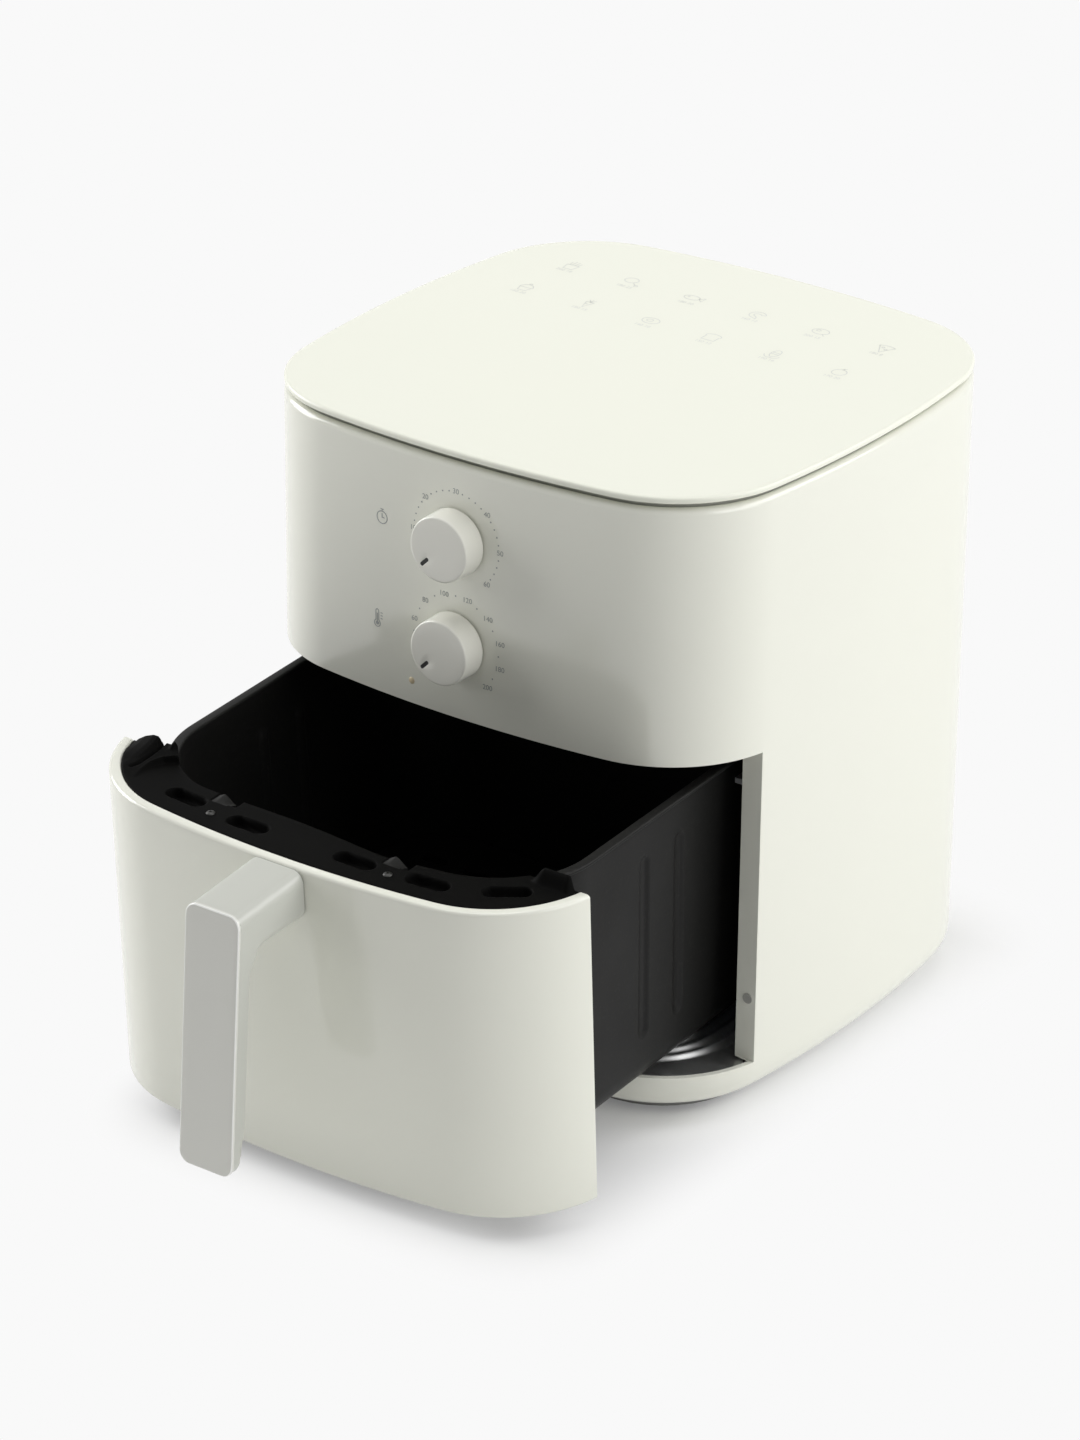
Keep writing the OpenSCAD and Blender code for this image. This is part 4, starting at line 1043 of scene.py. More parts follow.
def flange_height(x, y):
    """Height of the flange over its flat in millimetres: slot wells, a notch and a seat at each tab, end humps.

    The left end has a broad hump, a groove and a land behind a curved lip; the right end has one short hump.
    Every form is a product of eased steps or bells in x and y.
    """
    h = np.zeros(np.broadcast(x, y).shape)
    for slot in SLOTS:
        h -= WELL_DEPTH * ease(-slot_gap(x, y, *slot))
    for end, _, inner in TABS:
        h -= (NOTCH_DEPTH * ease((x - end + 0.2) / 0.8) * ease((end + 4.4 - x) / 0.8)
              * ease((y - inner + 5.4) / 1.2))
        h -= (SEAT_DEPTH * ease((x - end + 9.4) / 2) * ease((end + 0.4 - x) / 0.8)
              * ease((y - inner + 6.4) / 1.6))
    left = -x
    lip = left - np.interp(y, *LIP_LINE)
    out = left - np.interp(y, *HUMP_FOOT)
    rise = np.clip((y + 105.5) / 26.6, 0, 1)
    hump = np.interp(out, *HUMP_SECTION) * np.clip((y + 100.5) / 21.5, 0, 1)
    land = LAND * rise * ease(lip / 1.5) * ease((116 - left) / 8)
    step = np.maximum(hump, land) + LIP_BEAD * rise * bell(lip - 1.2, 0.9)
    step -= GROOVE * bell(out + 1.0, 0.8) * ease((y + 101) / 3)
    step += KNOT * bell(left - 96.4, 1.3) * ease((y + 83.5) / 3)
    hump = RIGHT_HUMP * ease((y + 84.8) / 4.8) * ease((118.6 - x) / 2.2) * ease((x - 97.5) / 6.5)
    return h + np.where(left > 0, step, hump)


class AIRFRYER_OT_flange(bpy.types.Operator):
    """Black flange between the drawer front and the basket.

    Its upper face is ruled between the front's inside and the basket's inner edge, both parted evenly, and
    lifted by flange_height; an eased edge, a skirt down the basket's wall and an underside close it.
    """
    bl_idname = "air_fryer.flange"
    bl_label = "Drawer flange"

    POINTS, ACROSS = 800, 60
    UNDERSIDE = (167.5, 170.5)

    def execute(self, context):
        d, mats = props("drawer"), materials()
        n, across = self.POINTS, self.ACROSS
        back, gap, edge_r = d.panel_end + 0.3 * MM, 0.05 * MM, 0.8
        end = cut_angle(back, d.panel_rim - gap)
        a = np.linspace(math.pi - end, 2 * math.pi + end, 900)
        outer = even_row(np.stack(bowed_outline(a, d.panel_rim - gap), -1), n)
        inner = self.basket_line(d, d.lip + d.wall - 0.2 * MM, back, n)
        inner[:, 1] -= np.interp(inner[:, 0] / MM, *INNER_EDGE) * MM
        wall = self.basket_line(d, d.lip + 0.9 * MM, back, n)
        away = outer - inner
        away *= edge_r * MM / np.hypot(*away.T)[:, None]
        edge = inner + away
        # both ends stay in the flange's end planes
        edge[[0, -1]] = (inner + away * [1, 0])[[0, -1]]
        v = np.linspace(0, 1, across)[None, :, None]
        t = np.linspace(0, math.pi / 2, 5)[1:]
        turn = edge[:, None] + (inner - edge)[:, None] * np.sin(t)[None, :, None]
        flat = np.concatenate([outer[:, None] * (1 - v) + edge[:, None] * v, turn], 1)
        z = d.flange_face / MM + flange_height(flat[..., 0] / MM, flat[..., 1] / MM)
        z[:, :2] -= (0.7, 0.1)
        z[:, across:] -= edge_r * (1 - np.cos(t))[None]
        z = np.concatenate([z, np.broadcast_to([self.UNDERSIDE], (n, 2))], 1) * MM
        flat = np.concatenate([flat, wall[:, None], outer[:, None]], 1)
        Parts().swept(pulled(np.concatenate([flat, z[..., None]], -1))).build(
            "front_flange", mats["frame"], "drawer", "black_plastic", ["drawer_frame"], flat_angle=180)
        return {"FINISHED"}

    @staticmethod
    def basket_line(d, inset, back, n):
        """The basket's line drawn in by inset, from its left side at y = -back round the front to its right."""
        p, normal = box_outline(d.half_w, -d.front, d.back, d.corner, d.corner, 60, 20)
        p = p - normal * inset
        p = p[p[:, 1] < 0]
        p = p[np.argsort(np.arctan2(p[:, 0], -p[:, 1]))]
        left = p[p[:, 0] < 0]
        left = left[np.argsort(left[:, 1])]
        x = np.interp(-back, left[:, 1], left[:, 0])
        keep = p[p[:, 1] < -back - 0.05 * MM]
        return even_row(np.concatenate([[[x, -back]], keep, [[-x, -back]]]), n)


class AIRFRYER_OT_clips(bpy.types.Operator):
    """Tabs that hold the basket's rim, and their small screws.

    A tab is a thin leaf on a grid: its inner edge is lifted a little at its left and falls towards its right.
    """
    bl_idname = "air_fryer.clips"
    bl_label = "Clips"

    WIDE, LONG, THICK, SCREW_R = 8.6, 7.4, 1.2, 2.1
    # lift of the inner edge's left side, fall towards its right, length that bends, and how far it is let in
    LIFT, FALL, BENT, SUNK = 1.2, 3.8, 6.8, 0.2

    def execute(self, context):
        mats, face = materials(), props("drawer").flange_face / MM
        clips, screws = Parts(), Parts()
        t = np.linspace(0, math.pi / 2, 7)[:-1]
        dome = [(0.0, -0.6), (self.SCREW_R, -0.6), *zip(self.SCREW_R * np.cos(t), 0.9 * np.sin(t)),
                (0.7, 0.87), (0.6, 0.45), (0.0, 0.45)]
        screw, screw_faces = lathe(dome, 32)
        n, m = 40, 34
        for end, screw_x, inner in TABS:
            x, y = np.meshgrid(np.linspace(end - self.WIDE, end, n), np.linspace(inner - self.LONG, inner, m),
                               indexing="ij")
            across = (x - end + self.WIDE) / self.WIDE
            inward = np.clip((y - inner + self.BENT) / self.BENT, 0, 1)
            bend = self.LIFT * ease(across / 0.35) - self.FALL * ease((across - 0.25) / 0.85)
            top = np.stack([x, y, face + inward * bend - self.SUNK], -1) * MM
            under = top - [0, 0, self.THICK * MM]
            clips.add(*thick_grid(pulled(top), pulled(under), np.ones((n - 1, m - 1))))
            screws.add(pulled((screw + [screw_x, SCREW_Y, face]) * MM), screw_faces)
        clips.build("rim_clips", mats["clip"], "drawer", "black_plastic", ["frame_clips"], flat_angle=50)
        screws.build("clip_screws", mats["dull_screw"], "drawer", "screw_steel", ["frame_screws"])
        return {"FINISHED"}


def round_corners(half_x, half_z, r, n):
    """Corner arcs of a round-cornered plate about its middle, n points each: arc centres and unit normals."""
    a = np.linspace(0, math.pi / 2, n)
    q = np.stack([np.cos(a), np.sin(a)], 1)
    signs = np.array([(1, 1), (-1, 1), (-1, -1), (1, -1)])
    normals = np.concatenate([q, q[::-1] * [-1, 1], -q, (q * [1, -1])[::-1]])
    return np.repeat(signs * [half_x - r, half_z - r], n, 0), normals


class AIRFRYER_OT_handle(bpy.types.Operator):
    """Handle: a rounded side profile spread across its width, with a cover plate and a slab of painted shade in
    the gap at its root.
    """
    bl_idname = "air_fryer.handle"
    bl_label = "Handle"

    def execute(self, context):
        mats, s = materials(), props("handle")
        self.grip(mats, s)
        self.cover(mats, s)
        self.root_gap_shade(mats)
        return {"FINISHED"}

    @staticmethod
    def face(s, z):
        """Depth of the cover's leaning front at height z, in millimetres."""
        lean = (s.low_reach - s.reach) / (s.top - s.low)
        return -s.reach / MM - lean * (s.top / MM - z)

    @staticmethod
    def root():
        """Depth of the handle's root, just inside the drawer front, in millimetres."""
        return -props("housing").half_d / MM - 0.7

    @classmethod
    def side_profile(cls, s):
        """Closed side profile in millimetres: the arm's top, the back of the cover, the grip and the elbow."""
        root, top, low, arm = cls.root(), s.top / MM, s.low / MM, s.arm / MM
        behind, grip, elbow, foot_r = (s.cover + s.gap) / MM, s.grip / MM, s.elbow / MM, 5.7
        start, root_top = cls.face(s, top), s.root_top / MM
        fall = (root_top - top) / (root - start)

        def turn(cy, cz, r, a0, a1):
            a = np.radians(np.linspace(a0, a1, 11))
            return list(zip(cy + r * np.cos(a), cz + r * np.sin(a)))

        loop = [(root, root_top)]
        loop += [(y, root_top - fall * (root - y)) for y in np.linspace(root - 4, start + behind, 16)]
        loop += [(cls.face(s, z) + behind, z) for z in np.linspace(top - 0.9, low + 1.0, 40)]
        loop += turn(cls.face(s, low) + grip - foot_r, low + foot_r, foot_r, 268, 360)
        loop += [(cls.face(s, z) + grip, z) for z in np.linspace(low + 6.5, arm - elbow - 1, 36)]
        loop += turn(cls.face(s, arm - elbow) + grip + elbow, arm - elbow, elbow, 180, 90)
        loop += [(y, arm) for y in np.linspace(cls.face(s, arm) + grip + elbow + 3, root - 3, 8)]
        return np.array(loop + [(root, arm)])

    @classmethod
    def grip(cls, mats, s):
        """Arm and grip in one: the side profile drawn in towards both sides by a rounded edge.

        At x = half - r (1 - sin a) the profile is drawn in by r (1 - cos a); where it lies flat against the
        cover or the front it stays, and is cut to follow the round corners.
        """
        root, top, low, arm = cls.root(), s.root_top / MM, s.low / MM, s.arm / MM
        half, small, large = s.half_w / MM, s.edge / MM, s.corner / MM
        loop = cls.side_profile(s)
        y, z = loop.T
        tangent = np.roll(loop, -1, 0) - np.roll(loop, 1, 0)
        normal = np.stack([-tangent[:, 1], tangent[:, 0]], 1)
        area = np.sum(y * np.roll(z, -1) - z * np.roll(y, -1))
        normal *= -np.sign(area) / np.linalg.norm(normal, axis=1)[:, None]
        against = np.abs(y - cls.face(s, z) - (s.cover + s.gap) / MM) < 0.05
        flat = against | (y > root - 0.1)
        r = small + (large - small) * np.maximum((z > arm - 2) | against, ease((low + 22 - z) / 14))
        floor, roof = np.where(against, low + 0.3, arm), np.where(against, s.top / MM - 0.1, top)
        slabs = []
        angles = np.linspace(0, math.pi / 2, 9)
        for sign, a in [(-1, a) for a in angles[::-1]] + [(1, a) for a in angles]:
            x, edge = sign * (half - r * (1 - np.sin(a))), r * (1 - np.cos(a))
            drawn = loop - normal * np.where(flat, 0, edge)[:, None]
            drop = edge.max()
            level = np.where(flat, np.clip(drawn[:, 1], floor + drop, roof - drop), drawn[:, 1])
            slabs.append(np.stack([x, drawn[:, 0], level], -1))
        Parts().swept(pulled(np.stack(slabs) * MM)).build("handle_grip", mats["handle"], "drawer",
                                                          "handle_white", ["handle_body"], flat_angle=40)

    @classmethod
    def cover(cls, mats, s):
        """The cover: a leaning plate with round corners whose front edge is eased."""
        half, thick, r, edge = s.half_w / MM, s.cover / MM, s.corner / MM, 0.8
        top, low = s.top / MM + 0.3, s.low / MM - 0.2
        centre, normal = round_corners(half, (top - low) / 2, r, 9)
        t = np.linspace(0, math.pi / 2, 5)
        section = np.array([(3.0, thick), (0.0, thick), *zip(edge * (1 - np.cos(t)), edge * (1 - np.sin(t))),
                            (2.4, 0.0), (3.3, 0.0)])
        flat = centre[:, None] + normal[:, None] * (r - section[None, :, :1])
        z = (top + low) / 2 + flat[..., 1]
        grid = np.stack([flat[..., 0], cls.face(s, z) + section[None, :, 1], z], -1) * MM
        obj = Parts().tube(pulled(grid)).build("handle_cover", mats["cover"], "drawer", "handle_cover",
                                               ["handle_face"])
        # the narrow faces of the eased edge that lean towards the front get a lighter colour: a painted
        # highlight
        area, (_, facing, _) = face_values(obj, "area", 1)[0], face_values(obj, "normal", 3)
        second_finish(obj, mats["cover_edge_highlight"], (area < 60e-6) & (facing > -0.93) & (facing < -0.2))

    @classmethod
    def root_gap_shade(cls, mats):
        """Painted shade in the gap at the handle's root: a thin dark-gray slab a little smaller than the root
        itself.
        """
        half_x, half_z, r, middle = 14.1, 11.3, 5.4, 166.1
        centre, normal = round_corners(half_x, half_z, r, 7)
        loop = centre + normal * r + [0, middle]
        grid = np.stack([np.insert(loop, 1, cls.root() + y, axis=1) for y in (-0.4, 1.6)], 1)
        Parts().tube(pulled(grid * MM)).build("handle_gap_shade", mats["seal"], "drawer", "black_plastic")


# ---- dials and printed marks ----


def front_y(x):
    """Depth of the bowed front at x: the arc's centre less the root of its radius squared less x squared."""
    h = props("housing")
    return h.bow - h.half_d - np.sqrt(h.bow ** 2 - np.asarray(x, float) ** 2)


def stadium(n, half, radius):
    """A long round-ended loop about the origin: for each direction, the point at which a ray leaves it."""
    a = np.linspace(0, 2 * math.pi, n, endpoint=False)
    c, s = np.cos(a), np.sin(a)
    flat = radius / np.maximum(np.abs(s), 1e-9)
    tip = half * np.abs(c) + np.sqrt(np.maximum(radius ** 2 - (half * s) ** 2, 0))
    reach = np.where(flat * np.abs(c) < half, flat, tip)
    return a, np.stack([reach * c, reach * s], 1)


class AIRFRYER_OT_knobs(bpy.types.Operator):
    """Knobs: one surface from the pointer groove out over the flat face, round its edge and along the side."""
    bl_idname = "air_fryer.knobs"
    bl_label = "Knobs"

    def execute(self, context):
        s, mats = props("dials"), materials()
        for z, dial in ((s.timer_z, "timer"), (s.thermo_z, "temperature")):
            self.knob(s, z, dial, mats)
            self.shadow(s, z, dial, mats)
        return {"FINISHED"}

    @classmethod
    def knob(cls, s, z, dial, mats):
        """One knob; its deepest faces inside the pointer groove are dark."""
        rings = cls.rings(s)
        uv = np.stack([ring for ring, _ in rings], 1)
        depth = np.array([value for _, value in rings]) * MM
        c, t = math.cos(s.pointer_turn), math.sin(s.pointer_turn)
        x, up = (uv[..., 0] + s.pointer) * c - uv[..., 1] * t, (uv[..., 0] + s.pointer) * t + uv[..., 1] * c
        face = -props("housing").half_d - s.gap - s.depth
        grid = np.stack([x, np.broadcast_to(face - depth, x.shape), z + up], -1)
        obj = Parts().tube(grid).build(f"{dial}_dial_knob", mats["knob"], f"{dial}_dial", "knob_white",
                                       [f"{dial}_knob"], flat_angle=50)
        px, py, pz = face_values(obj, "center", 3)
        near = np.hypot(px - s.pointer * c, pz - z - s.pointer * t) < 3.2 * MM
        second_finish(obj, mats["pointer_and_gap_shade"], near & (py > face + 0.08 * MM) & (py < face + 0.8 * MM))

    @staticmethod
    def rings(s):
        """Rings about the groove's middle, from groove to back, each with its height over the face in mm.

        Rays from that middle meet the groove's outline and the knob's circles, and rings between are mixed.
        """
        a, groove = stadium(128, 1.75 * MM, 0.85 * MM)
        c, t = np.cos(a), np.sin(a)
        r, edge, back, hollow = s.radius, 0.9 * MM, s.depth / MM, -2.4
        face_r = r - 0.35 * MM

        def circle(radius):
            reach = -s.pointer * c + np.sqrt(radius ** 2 - (s.pointer * t) ** 2)
            return np.stack([reach * c, reach * t], 1)

        rings = [(groove * k, depth) for k, depth in
                 ((0.002, -0.55), (0.9, -0.55), (0.93, -0.4), (1, -0.18), (1.042, -0.03), (1.12, 0))]
        flat = circle(face_r - edge)
        rings += [(groove * 1.12 * (1 - k) + flat * k, 0) for k in (0.25, 0.5, 0.75, 1)]
        rings += [(circle(face_r - edge * (1 - math.sin(v))), -edge / MM * (1 - math.cos(v)))
                  for v in np.linspace(0, math.pi / 2, 6)[1:]]
        rings += [(circle(r - inset * MM), -k * back) for k, inset in ((0.35, 0.2), (0.7, 0.1), (0.93, 0.02))]
        rings += [(circle(r), 0.25 - back), (circle(r - 0.25 * MM), -back), (circle(r - 2 * MM), -back),
                  (circle(r - 2 * MM), hollow)]
        hub = np.array([s.pointer, 0])
        return rings + [((rings[-1][0] + hub) * 0.39 - hub, hollow)]

    @staticmethod
    def shadow(s, z, dial, mats):
        """Painted shade in the gap behind a knob: a dark disc between its back and the front."""
        r, deep = s.radius - 1.2 * MM, s.gap + 0.1 * MM
        points, faces = lathe_out([(0.0, 0), (r, 0), (r, deep), (0.0, deep)], 72,
                                  0, front_y(0) + 0.05 * MM, z)
        Parts().add(points, faces).build(f"{dial}_dial_shadow_ring", mats["pointer_and_gap_shade"], "housing", "black_plastic")


def text_mesh(text, size):
    """The points and faces of one line of text about its middle, size being the height of a digit."""
    curve = bpy.data.curves.new("Digits", "FONT")
    curve.body, curve.size = text, size / 0.73
    curve.align_x, curve.align_y = "CENTER", "CENTER"
    curve.resolution_u = 4
    holder = bpy.data.objects.new("Digits", curve)
    bpy.context.scene.collection.objects.link(holder)
    mesh = bpy.data.meshes.new_from_object(holder.evaluated_get(bpy.context.evaluated_depsgraph_get()))
    points = np.zeros(len(mesh.vertices) * 3)
    mesh.vertices.foreach_get("co", points)
    faces = [tuple(p.vertices) for p in mesh.polygons]
    bpy.data.objects.remove(holder)
    bpy.data.curves.remove(curve)
    bpy.data.meshes.remove(mesh)
    return points.reshape(-1, 3)[:, :2], faces


def stroke(path, width, closed=False):
    """A flat ribbon of even width along a row of points: each point is moved half the width to both sides."""
    p = np.asarray(path, float)
    ahead, behind = np.roll(p, -1, 0), np.roll(p, 1, 0)
    if not closed:
        ahead[-1], behind[0] = p[-1], p[0]
    a, b = p - behind, ahead - p
    a = np.where(np.hypot(*a.T)[:, None] < 1e-12, b, a)
    b = np.where(np.hypot(*b.T)[:, None] < 1e-12, a, b)
    a, b = (v / np.maximum(np.hypot(*v.T)[:, None], 1e-12) for v in (a, b))
    t = a + b
    t /= np.maximum(np.hypot(*t.T)[:, None], 1e-9)
    n = np.stack([-t[:, 1], t[:, 0]], 1)
    stretch = 1 / np.clip((t * b).sum(1), 0.5, 1)
    side = n * stretch[:, None] * width / 2
    grid = np.stack([p + side, p - side], 1)
    return grid, grid_faces(len(p), 2, wrap_u=closed)[:, ::-1]


def arc(cx, cy, rx, ry=None, a0=0.0, a1=360.0, n=20):
    """Points of an ellipse's arc from a0 to a1 degrees."""
    a = np.radians(np.linspace(a0, a1, n + 1))
    return np.stack([cx + rx * np.cos(a), cy + (rx if ry is None else ry) * np.sin(a)], 1)


def on_front(parts, xz, faces, x, z):
    """Adds flat faces, drawn about a middle, to the housing's bowed front, a hair proud of it."""
    px = x * MM + np.asarray(xz)[..., 0]
    pz = z * MM + np.asarray(xz)[..., 1]
    parts.add(np.stack([px, front_y(px) - 0.06 * MM, pz], -1), faces)


def dot(radius):
    """A small disc as one face."""
    n = 16
    return arc(0, 0, radius, n=n)[:-1] * MM, [range(n)]


class AIRFRYER_OT_prints(bpy.types.Operator):
    """Printed numbers, dots and symbols round the dials, laid on the bowed front."""
    bl_idname = "air_fryer.prints"
    bl_label = "Dial prints"

    # first number, step and count; first angle and its step in degrees; dots between numbers; symbol's place
    TIMER = (0, 10, 7, 225, -45, 4, (-41, 263.4))
    THERMO = (40, 20, 9, 195, -30, 1, (-44, 215.4))
    PEN, DOT = 0.42, 0.38

    def execute(self, context):
        s, mats = props("dials"), materials()
        parts = Parts()
        for z, (first, by, count, start, turn, dots, (x, mark_z)), symbol in (
                (s.timer_z, self.TIMER, self.clock), (s.thermo_z, self.THERMO, self.thermometer)):
            for k in range(count):
                self.number(parts, str(first + by * k), start + turn * k, s.ring / MM, z / MM, s.digit)
                for j in range(1, dots + 1) if k < count - 1 else ():
                    a = math.radians(start + turn * (k + j / (dots + 1)))
                    on_front(parts, *dot(self.DOT), s.ring / MM * math.cos(a), (z + s.ring * math.sin(a)) / MM)
            symbol(parts, x, mark_z)
        parts.build("dial_prints", mats["print"], "housing", "black_plastic", smooth=False, ink=(0, -1, 0))
        return {"FINISHED"}

    @staticmethod
    def number(parts, text, angle, ring, z, size):
        """One number on the ring; longer numbers stand a little farther out."""
        a = math.radians(angle)
        wide = (0, 0.6, 1.5)[len(text) - 1]
        on_front(parts, *text_mesh(text, size), (ring + wide) * math.cos(a), z + (ring + 0.2) * math.sin(a))

    @classmethod
    def clock(cls, parts, x, z):
        """A ring with two hands and a button on top."""
        for path, closed in ((arc(0, 0, 2.9, n=32)[:-1], True), ([(0, 1.9), (0, 0), (1.4, 0)], False),
                             ([(-0.9, 3.9), (0.9, 3.9)], False), ([(0, 3.0), (0, 3.8)], False)):
            on_front(parts, *stroke(np.array(path) * MM, cls.PEN * MM, closed), x, z)

    @classmethod
    def thermometer(cls, parts, x, z):
        """A bulb with a stem and three marks beside it."""
        bulb = -3.2
        outline = np.concatenate([arc(0, bulb, 1.7, a0=120, a1=420), arc(0, 2.6, 0.85, a0=0, a1=180, n=8)])
        on_front(parts, *stroke(outline * MM, cls.PEN * MM, True), x, z)
        on_front(parts, *stroke(np.array([(0, bulb), (0, 1.6)]) * MM, 0.5 * MM), x, z)
        on_front(parts, *dot(0.9), x, z + bulb)
        for up in (2.2, 0.8, -0.6):
            on_front(parts, *stroke(np.array([(1.9, up), (3.1, up)]) * MM, 0.36 * MM), x, z)


def line(*points):
    """An open line through points."""
    return np.array(points, float), False


def ring(cx, cy, rx, ry):
    """A closed ellipse."""
    return arc(cx, cy, rx, ry)[:-1], True


def bow(cx, cy, rx, ry, a0, a1):
    """An open arc of an ellipse, its two angles given last."""
    return arc(cx, cy, rx, ry, a0, a1), False


FOODS = (
    # chips in a cup, drumstick, fish, prawn, chop, pizza
    (line((-2.6, 0.4), (-1.8, -3.6), (1.8, -3.6), (2.6, 0.4), (-2.6, 0.4)), line((-1.7, 0.6), (-2.0, 3.0)),
     line((-0.6, 0.6), (-0.7, 3.9)), line((0.6, 0.6), (0.8, 3.5)), line((1.7, 0.6), (2.2, 2.8))),
    (ring(-1.0, 0.9, 2.7, 2.3), line((0.9, -0.8), (2.9, -2.8)), ring(3.3, -3.0, 0.7, 0.7)),
    (ring(-0.8, 0, 3.2, 1.9), line((2.2, 0), (4.0, 1.7), (4.0, -1.7), (2.2, 0)), ring(-2.4, 0.5, 0.3, 0.3)),
    (bow(0, 0, 3.1, 2.9, 20, 250), bow(0, 0, 1.4, 1.2, 20, 250), line((2.9, 1.0), (1.3, 0.4)),
     line((-1.1, -2.7), (1.2, -3.6), (0.7, -2.0), (-0.5, -1.1))),
    (ring(0, 0.3, 3.3, 2.4), ring(-1.2, 0.9, 0.8, 0.7), line((1.9, -1.7), (3.2, -3.0))),
    (line((-3.1, 2.4), (0, -3.6), (3.1, 2.4)), bow(0, 1.6, 3.3, 1.5, 10, 170), ring(-0.9, 0.9, 0.5, 0.5),
     ring(0.8, -0.4, 0.5, 0.5)),
    # small cake, carrot, egg, loaf, corn, apple
    (line((-2.4, -0.4), (-1.6, -3.4), (1.6, -3.4), (2.4, -0.4), (-2.4, -0.4)), bow(0, -0.3, 2.7, 2.6, 0, 180),
     ring(0, 2.9, 0.5, 0.5)),
    (line((-1.6, 1.4), (0, -3.8), (1.6, 1.4), (-1.6, 1.4)), line((-1.4, 3.4), (0, 1.5), (1.4, 3.4)),
     line((0, 1.5), (0, 3.7)), line((-0.9, -0.4), (0.3, -0.6))),
    (ring(0, 0, 3.4, 2.6), ring(-0.5, 0.2, 1.2, 1.1)),
    (line((-2.6, 0.6), (-2.6, -3.0), (2.6, -3.0), (2.6, 0.6)), bow(0, 1.2, 3.1, 1.6, -20, 200)),
    (ring(0, 0.6, 1.7, 3.1), bow(-0.9, -1.2, 2.2, 2.4, 190, 300), bow(0.9, -1.2, 2.2, 2.4, 240, 350),
     line((-1.4, 1.3), (1.4, 1.3)), line((-1.5, 0), (1.5, 0))),
    (ring(0, -0.5, 2.7, 2.6), bow(1.1, 2.1, 1.1, 1.1, 90, 180), line((0, 1.9), (0, 3.1))),
)
# height of each row on the plate, and the drawings' places along it
FOOD_ROWS = ((79.0, (-90.4, -56.4, -22.2, 12.9, 46.9, 81.0)), (44.0, (-91.4, -56.7, -21.7, 11.7, 45.6, 80.4)))
FOOD_SETTINGS = ("200 18", "180 25", "180 20", "160 12", "200 15", "180 8",
                 "160 20", "180 15", "140 10", "150 12", "190 16", "170 20")


class AIRFRYER_OT_guide(bpy.types.Operator):
    """Cooking guide on the top plate: thin line drawings of food in two rows, each over its two numbers."""
    bl_idname = "air_fryer.guide"
    bl_label = "Cooking guide"

    SCALE, PEN, DIGIT, DRAWING_UP, NUMBERS_DOWN = 1.3, 0.45, 2.3, 2.4, 4.6

    def execute(self, context):
        parts = Parts()
        places = [(x, y) for y, row in FOOD_ROWS for x in row]
        for (x, y), drawing, setting in zip(places, FOODS, FOOD_SETTINGS):
            for path, closed in drawing:
                flat, faces = stroke(path * MM * self.SCALE, self.PEN * MM, closed)
                self.on_top(parts, flat, faces, x, y + self.DRAWING_UP)
            self.on_top(parts, *text_mesh(setting, self.DIGIT * MM), x, y - self.NUMBERS_DOWN)
        parts.build("lid_prints", materials()["faint"], "housing", "seal_gray", smooth=False, ink=(0, 0, 1))
        return {"FINISHED"}

    @staticmethod
    def on_top(parts, flat, faces, x, y):
        """Adds flat faces, drawn about a middle, to the top plate."""
        z = np.full(flat.shape[:-1], LID_HI.z - 0.04 * MM)
        parts.add(np.stack([x * MM + flat[..., 0], y * MM + flat[..., 1], z], -1), faces)


class AIRFRYER_OT_lens(bpy.types.Operator):
    """Indicator lens: a low pale amber dome in its hole, on a wider flange behind the front."""
    bl_idname = "air_fryer.lens"
    bl_label = "Indicator lens"

    DOME_R, DOME_UP, FLANGE_R, FLANGE_Y = 1.68 * MM, 0.45 * MM, 2.7 * MM, -3.0 * MM

    def execute(self, context):
        lo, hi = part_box("indicator_lens")
        x, z = (lo.x + hi.x) / 2, (lo.z + hi.z) / 2
        t = np.linspace(0, math.pi / 2, 8)[:-1]
        rear = self.FLANGE_Y - 0.4 * MM
        profile = [(0.0, rear), (self.FLANGE_R, rear), (self.FLANGE_R, self.FLANGE_Y),
                   (self.DOME_R, self.FLANGE_Y), *zip(self.DOME_R * np.cos(t), self.DOME_UP * np.sin(t)),
                   (0.0, self.DOME_UP)]
        points, faces = lathe_out(profile, 40, x, float(front_y(x)) + 0.12 * MM, z)
        Parts().add(points, faces).build("lens_dome", materials()["amber"], "housing", "lamp_amber",
                                         ["indicator_lens"])
        return {"FINISHED"}


# ---- parts carried over from the model ----

FINISH_OF = {
    "base": ("base_plate",),
    "rubber": ("feet",),
    "screw": ("base_screws", "fan_nut", "handle_screws"),
    "painted_screw": ("cheek_screws",),
    "zinc": ("drawer_rails", "ceiling_plate", "heater_shroud", "motor_bracket", "exhaust_duct",
             "control_bracket"),
    "element": ("heater_coil", "heater_clips"),
    "motor": ("motor",),
    "shaft": ("motor_shaft", "timer_spindle", "thermostat_spindle"),
    "alloy": ("hot_air_fan", "cooling_fan"),
    "frame": ("outlet_grille", "cord_gland", "timer_unit", "interlock_switch"),
    "insulator": ("terminal_block", "thermostat_unit", "thermal_fuse", "indicator_lamp"),
    "wire": ("wiring",),
    "copper": ("thermostat_bulb", "timer_bell"),
    "plunger": ("switch_plunger",),
    "glide": ("rim_glides",),
    "silicone": ("tray_bumpers",),
    "coat": ("crisper_tray",),
}


class AIRFRYER_OT_finishes(bpy.types.Operator):
    """Gives every part of the model that stays in view its own finish."""
    bl_idname = "air_fryer.finishes"
    bl_label = "Finishes"

    def execute(self, context):
        mats = materials()
        for key, names in FINISH_OF.items():
            for name in names:
                if name not in NODES:
                    raise RuntimeError(f"the model has no part named {name}")
                mesh = NODES[name].data
                mesh.materials.clear()
                mesh.materials.append(mats[key])
                mesh.polygons.foreach_set("material_index", np.zeros(len(mesh.polygons), np.int32))
        return {"FINISHED"}


# ---- studio ----


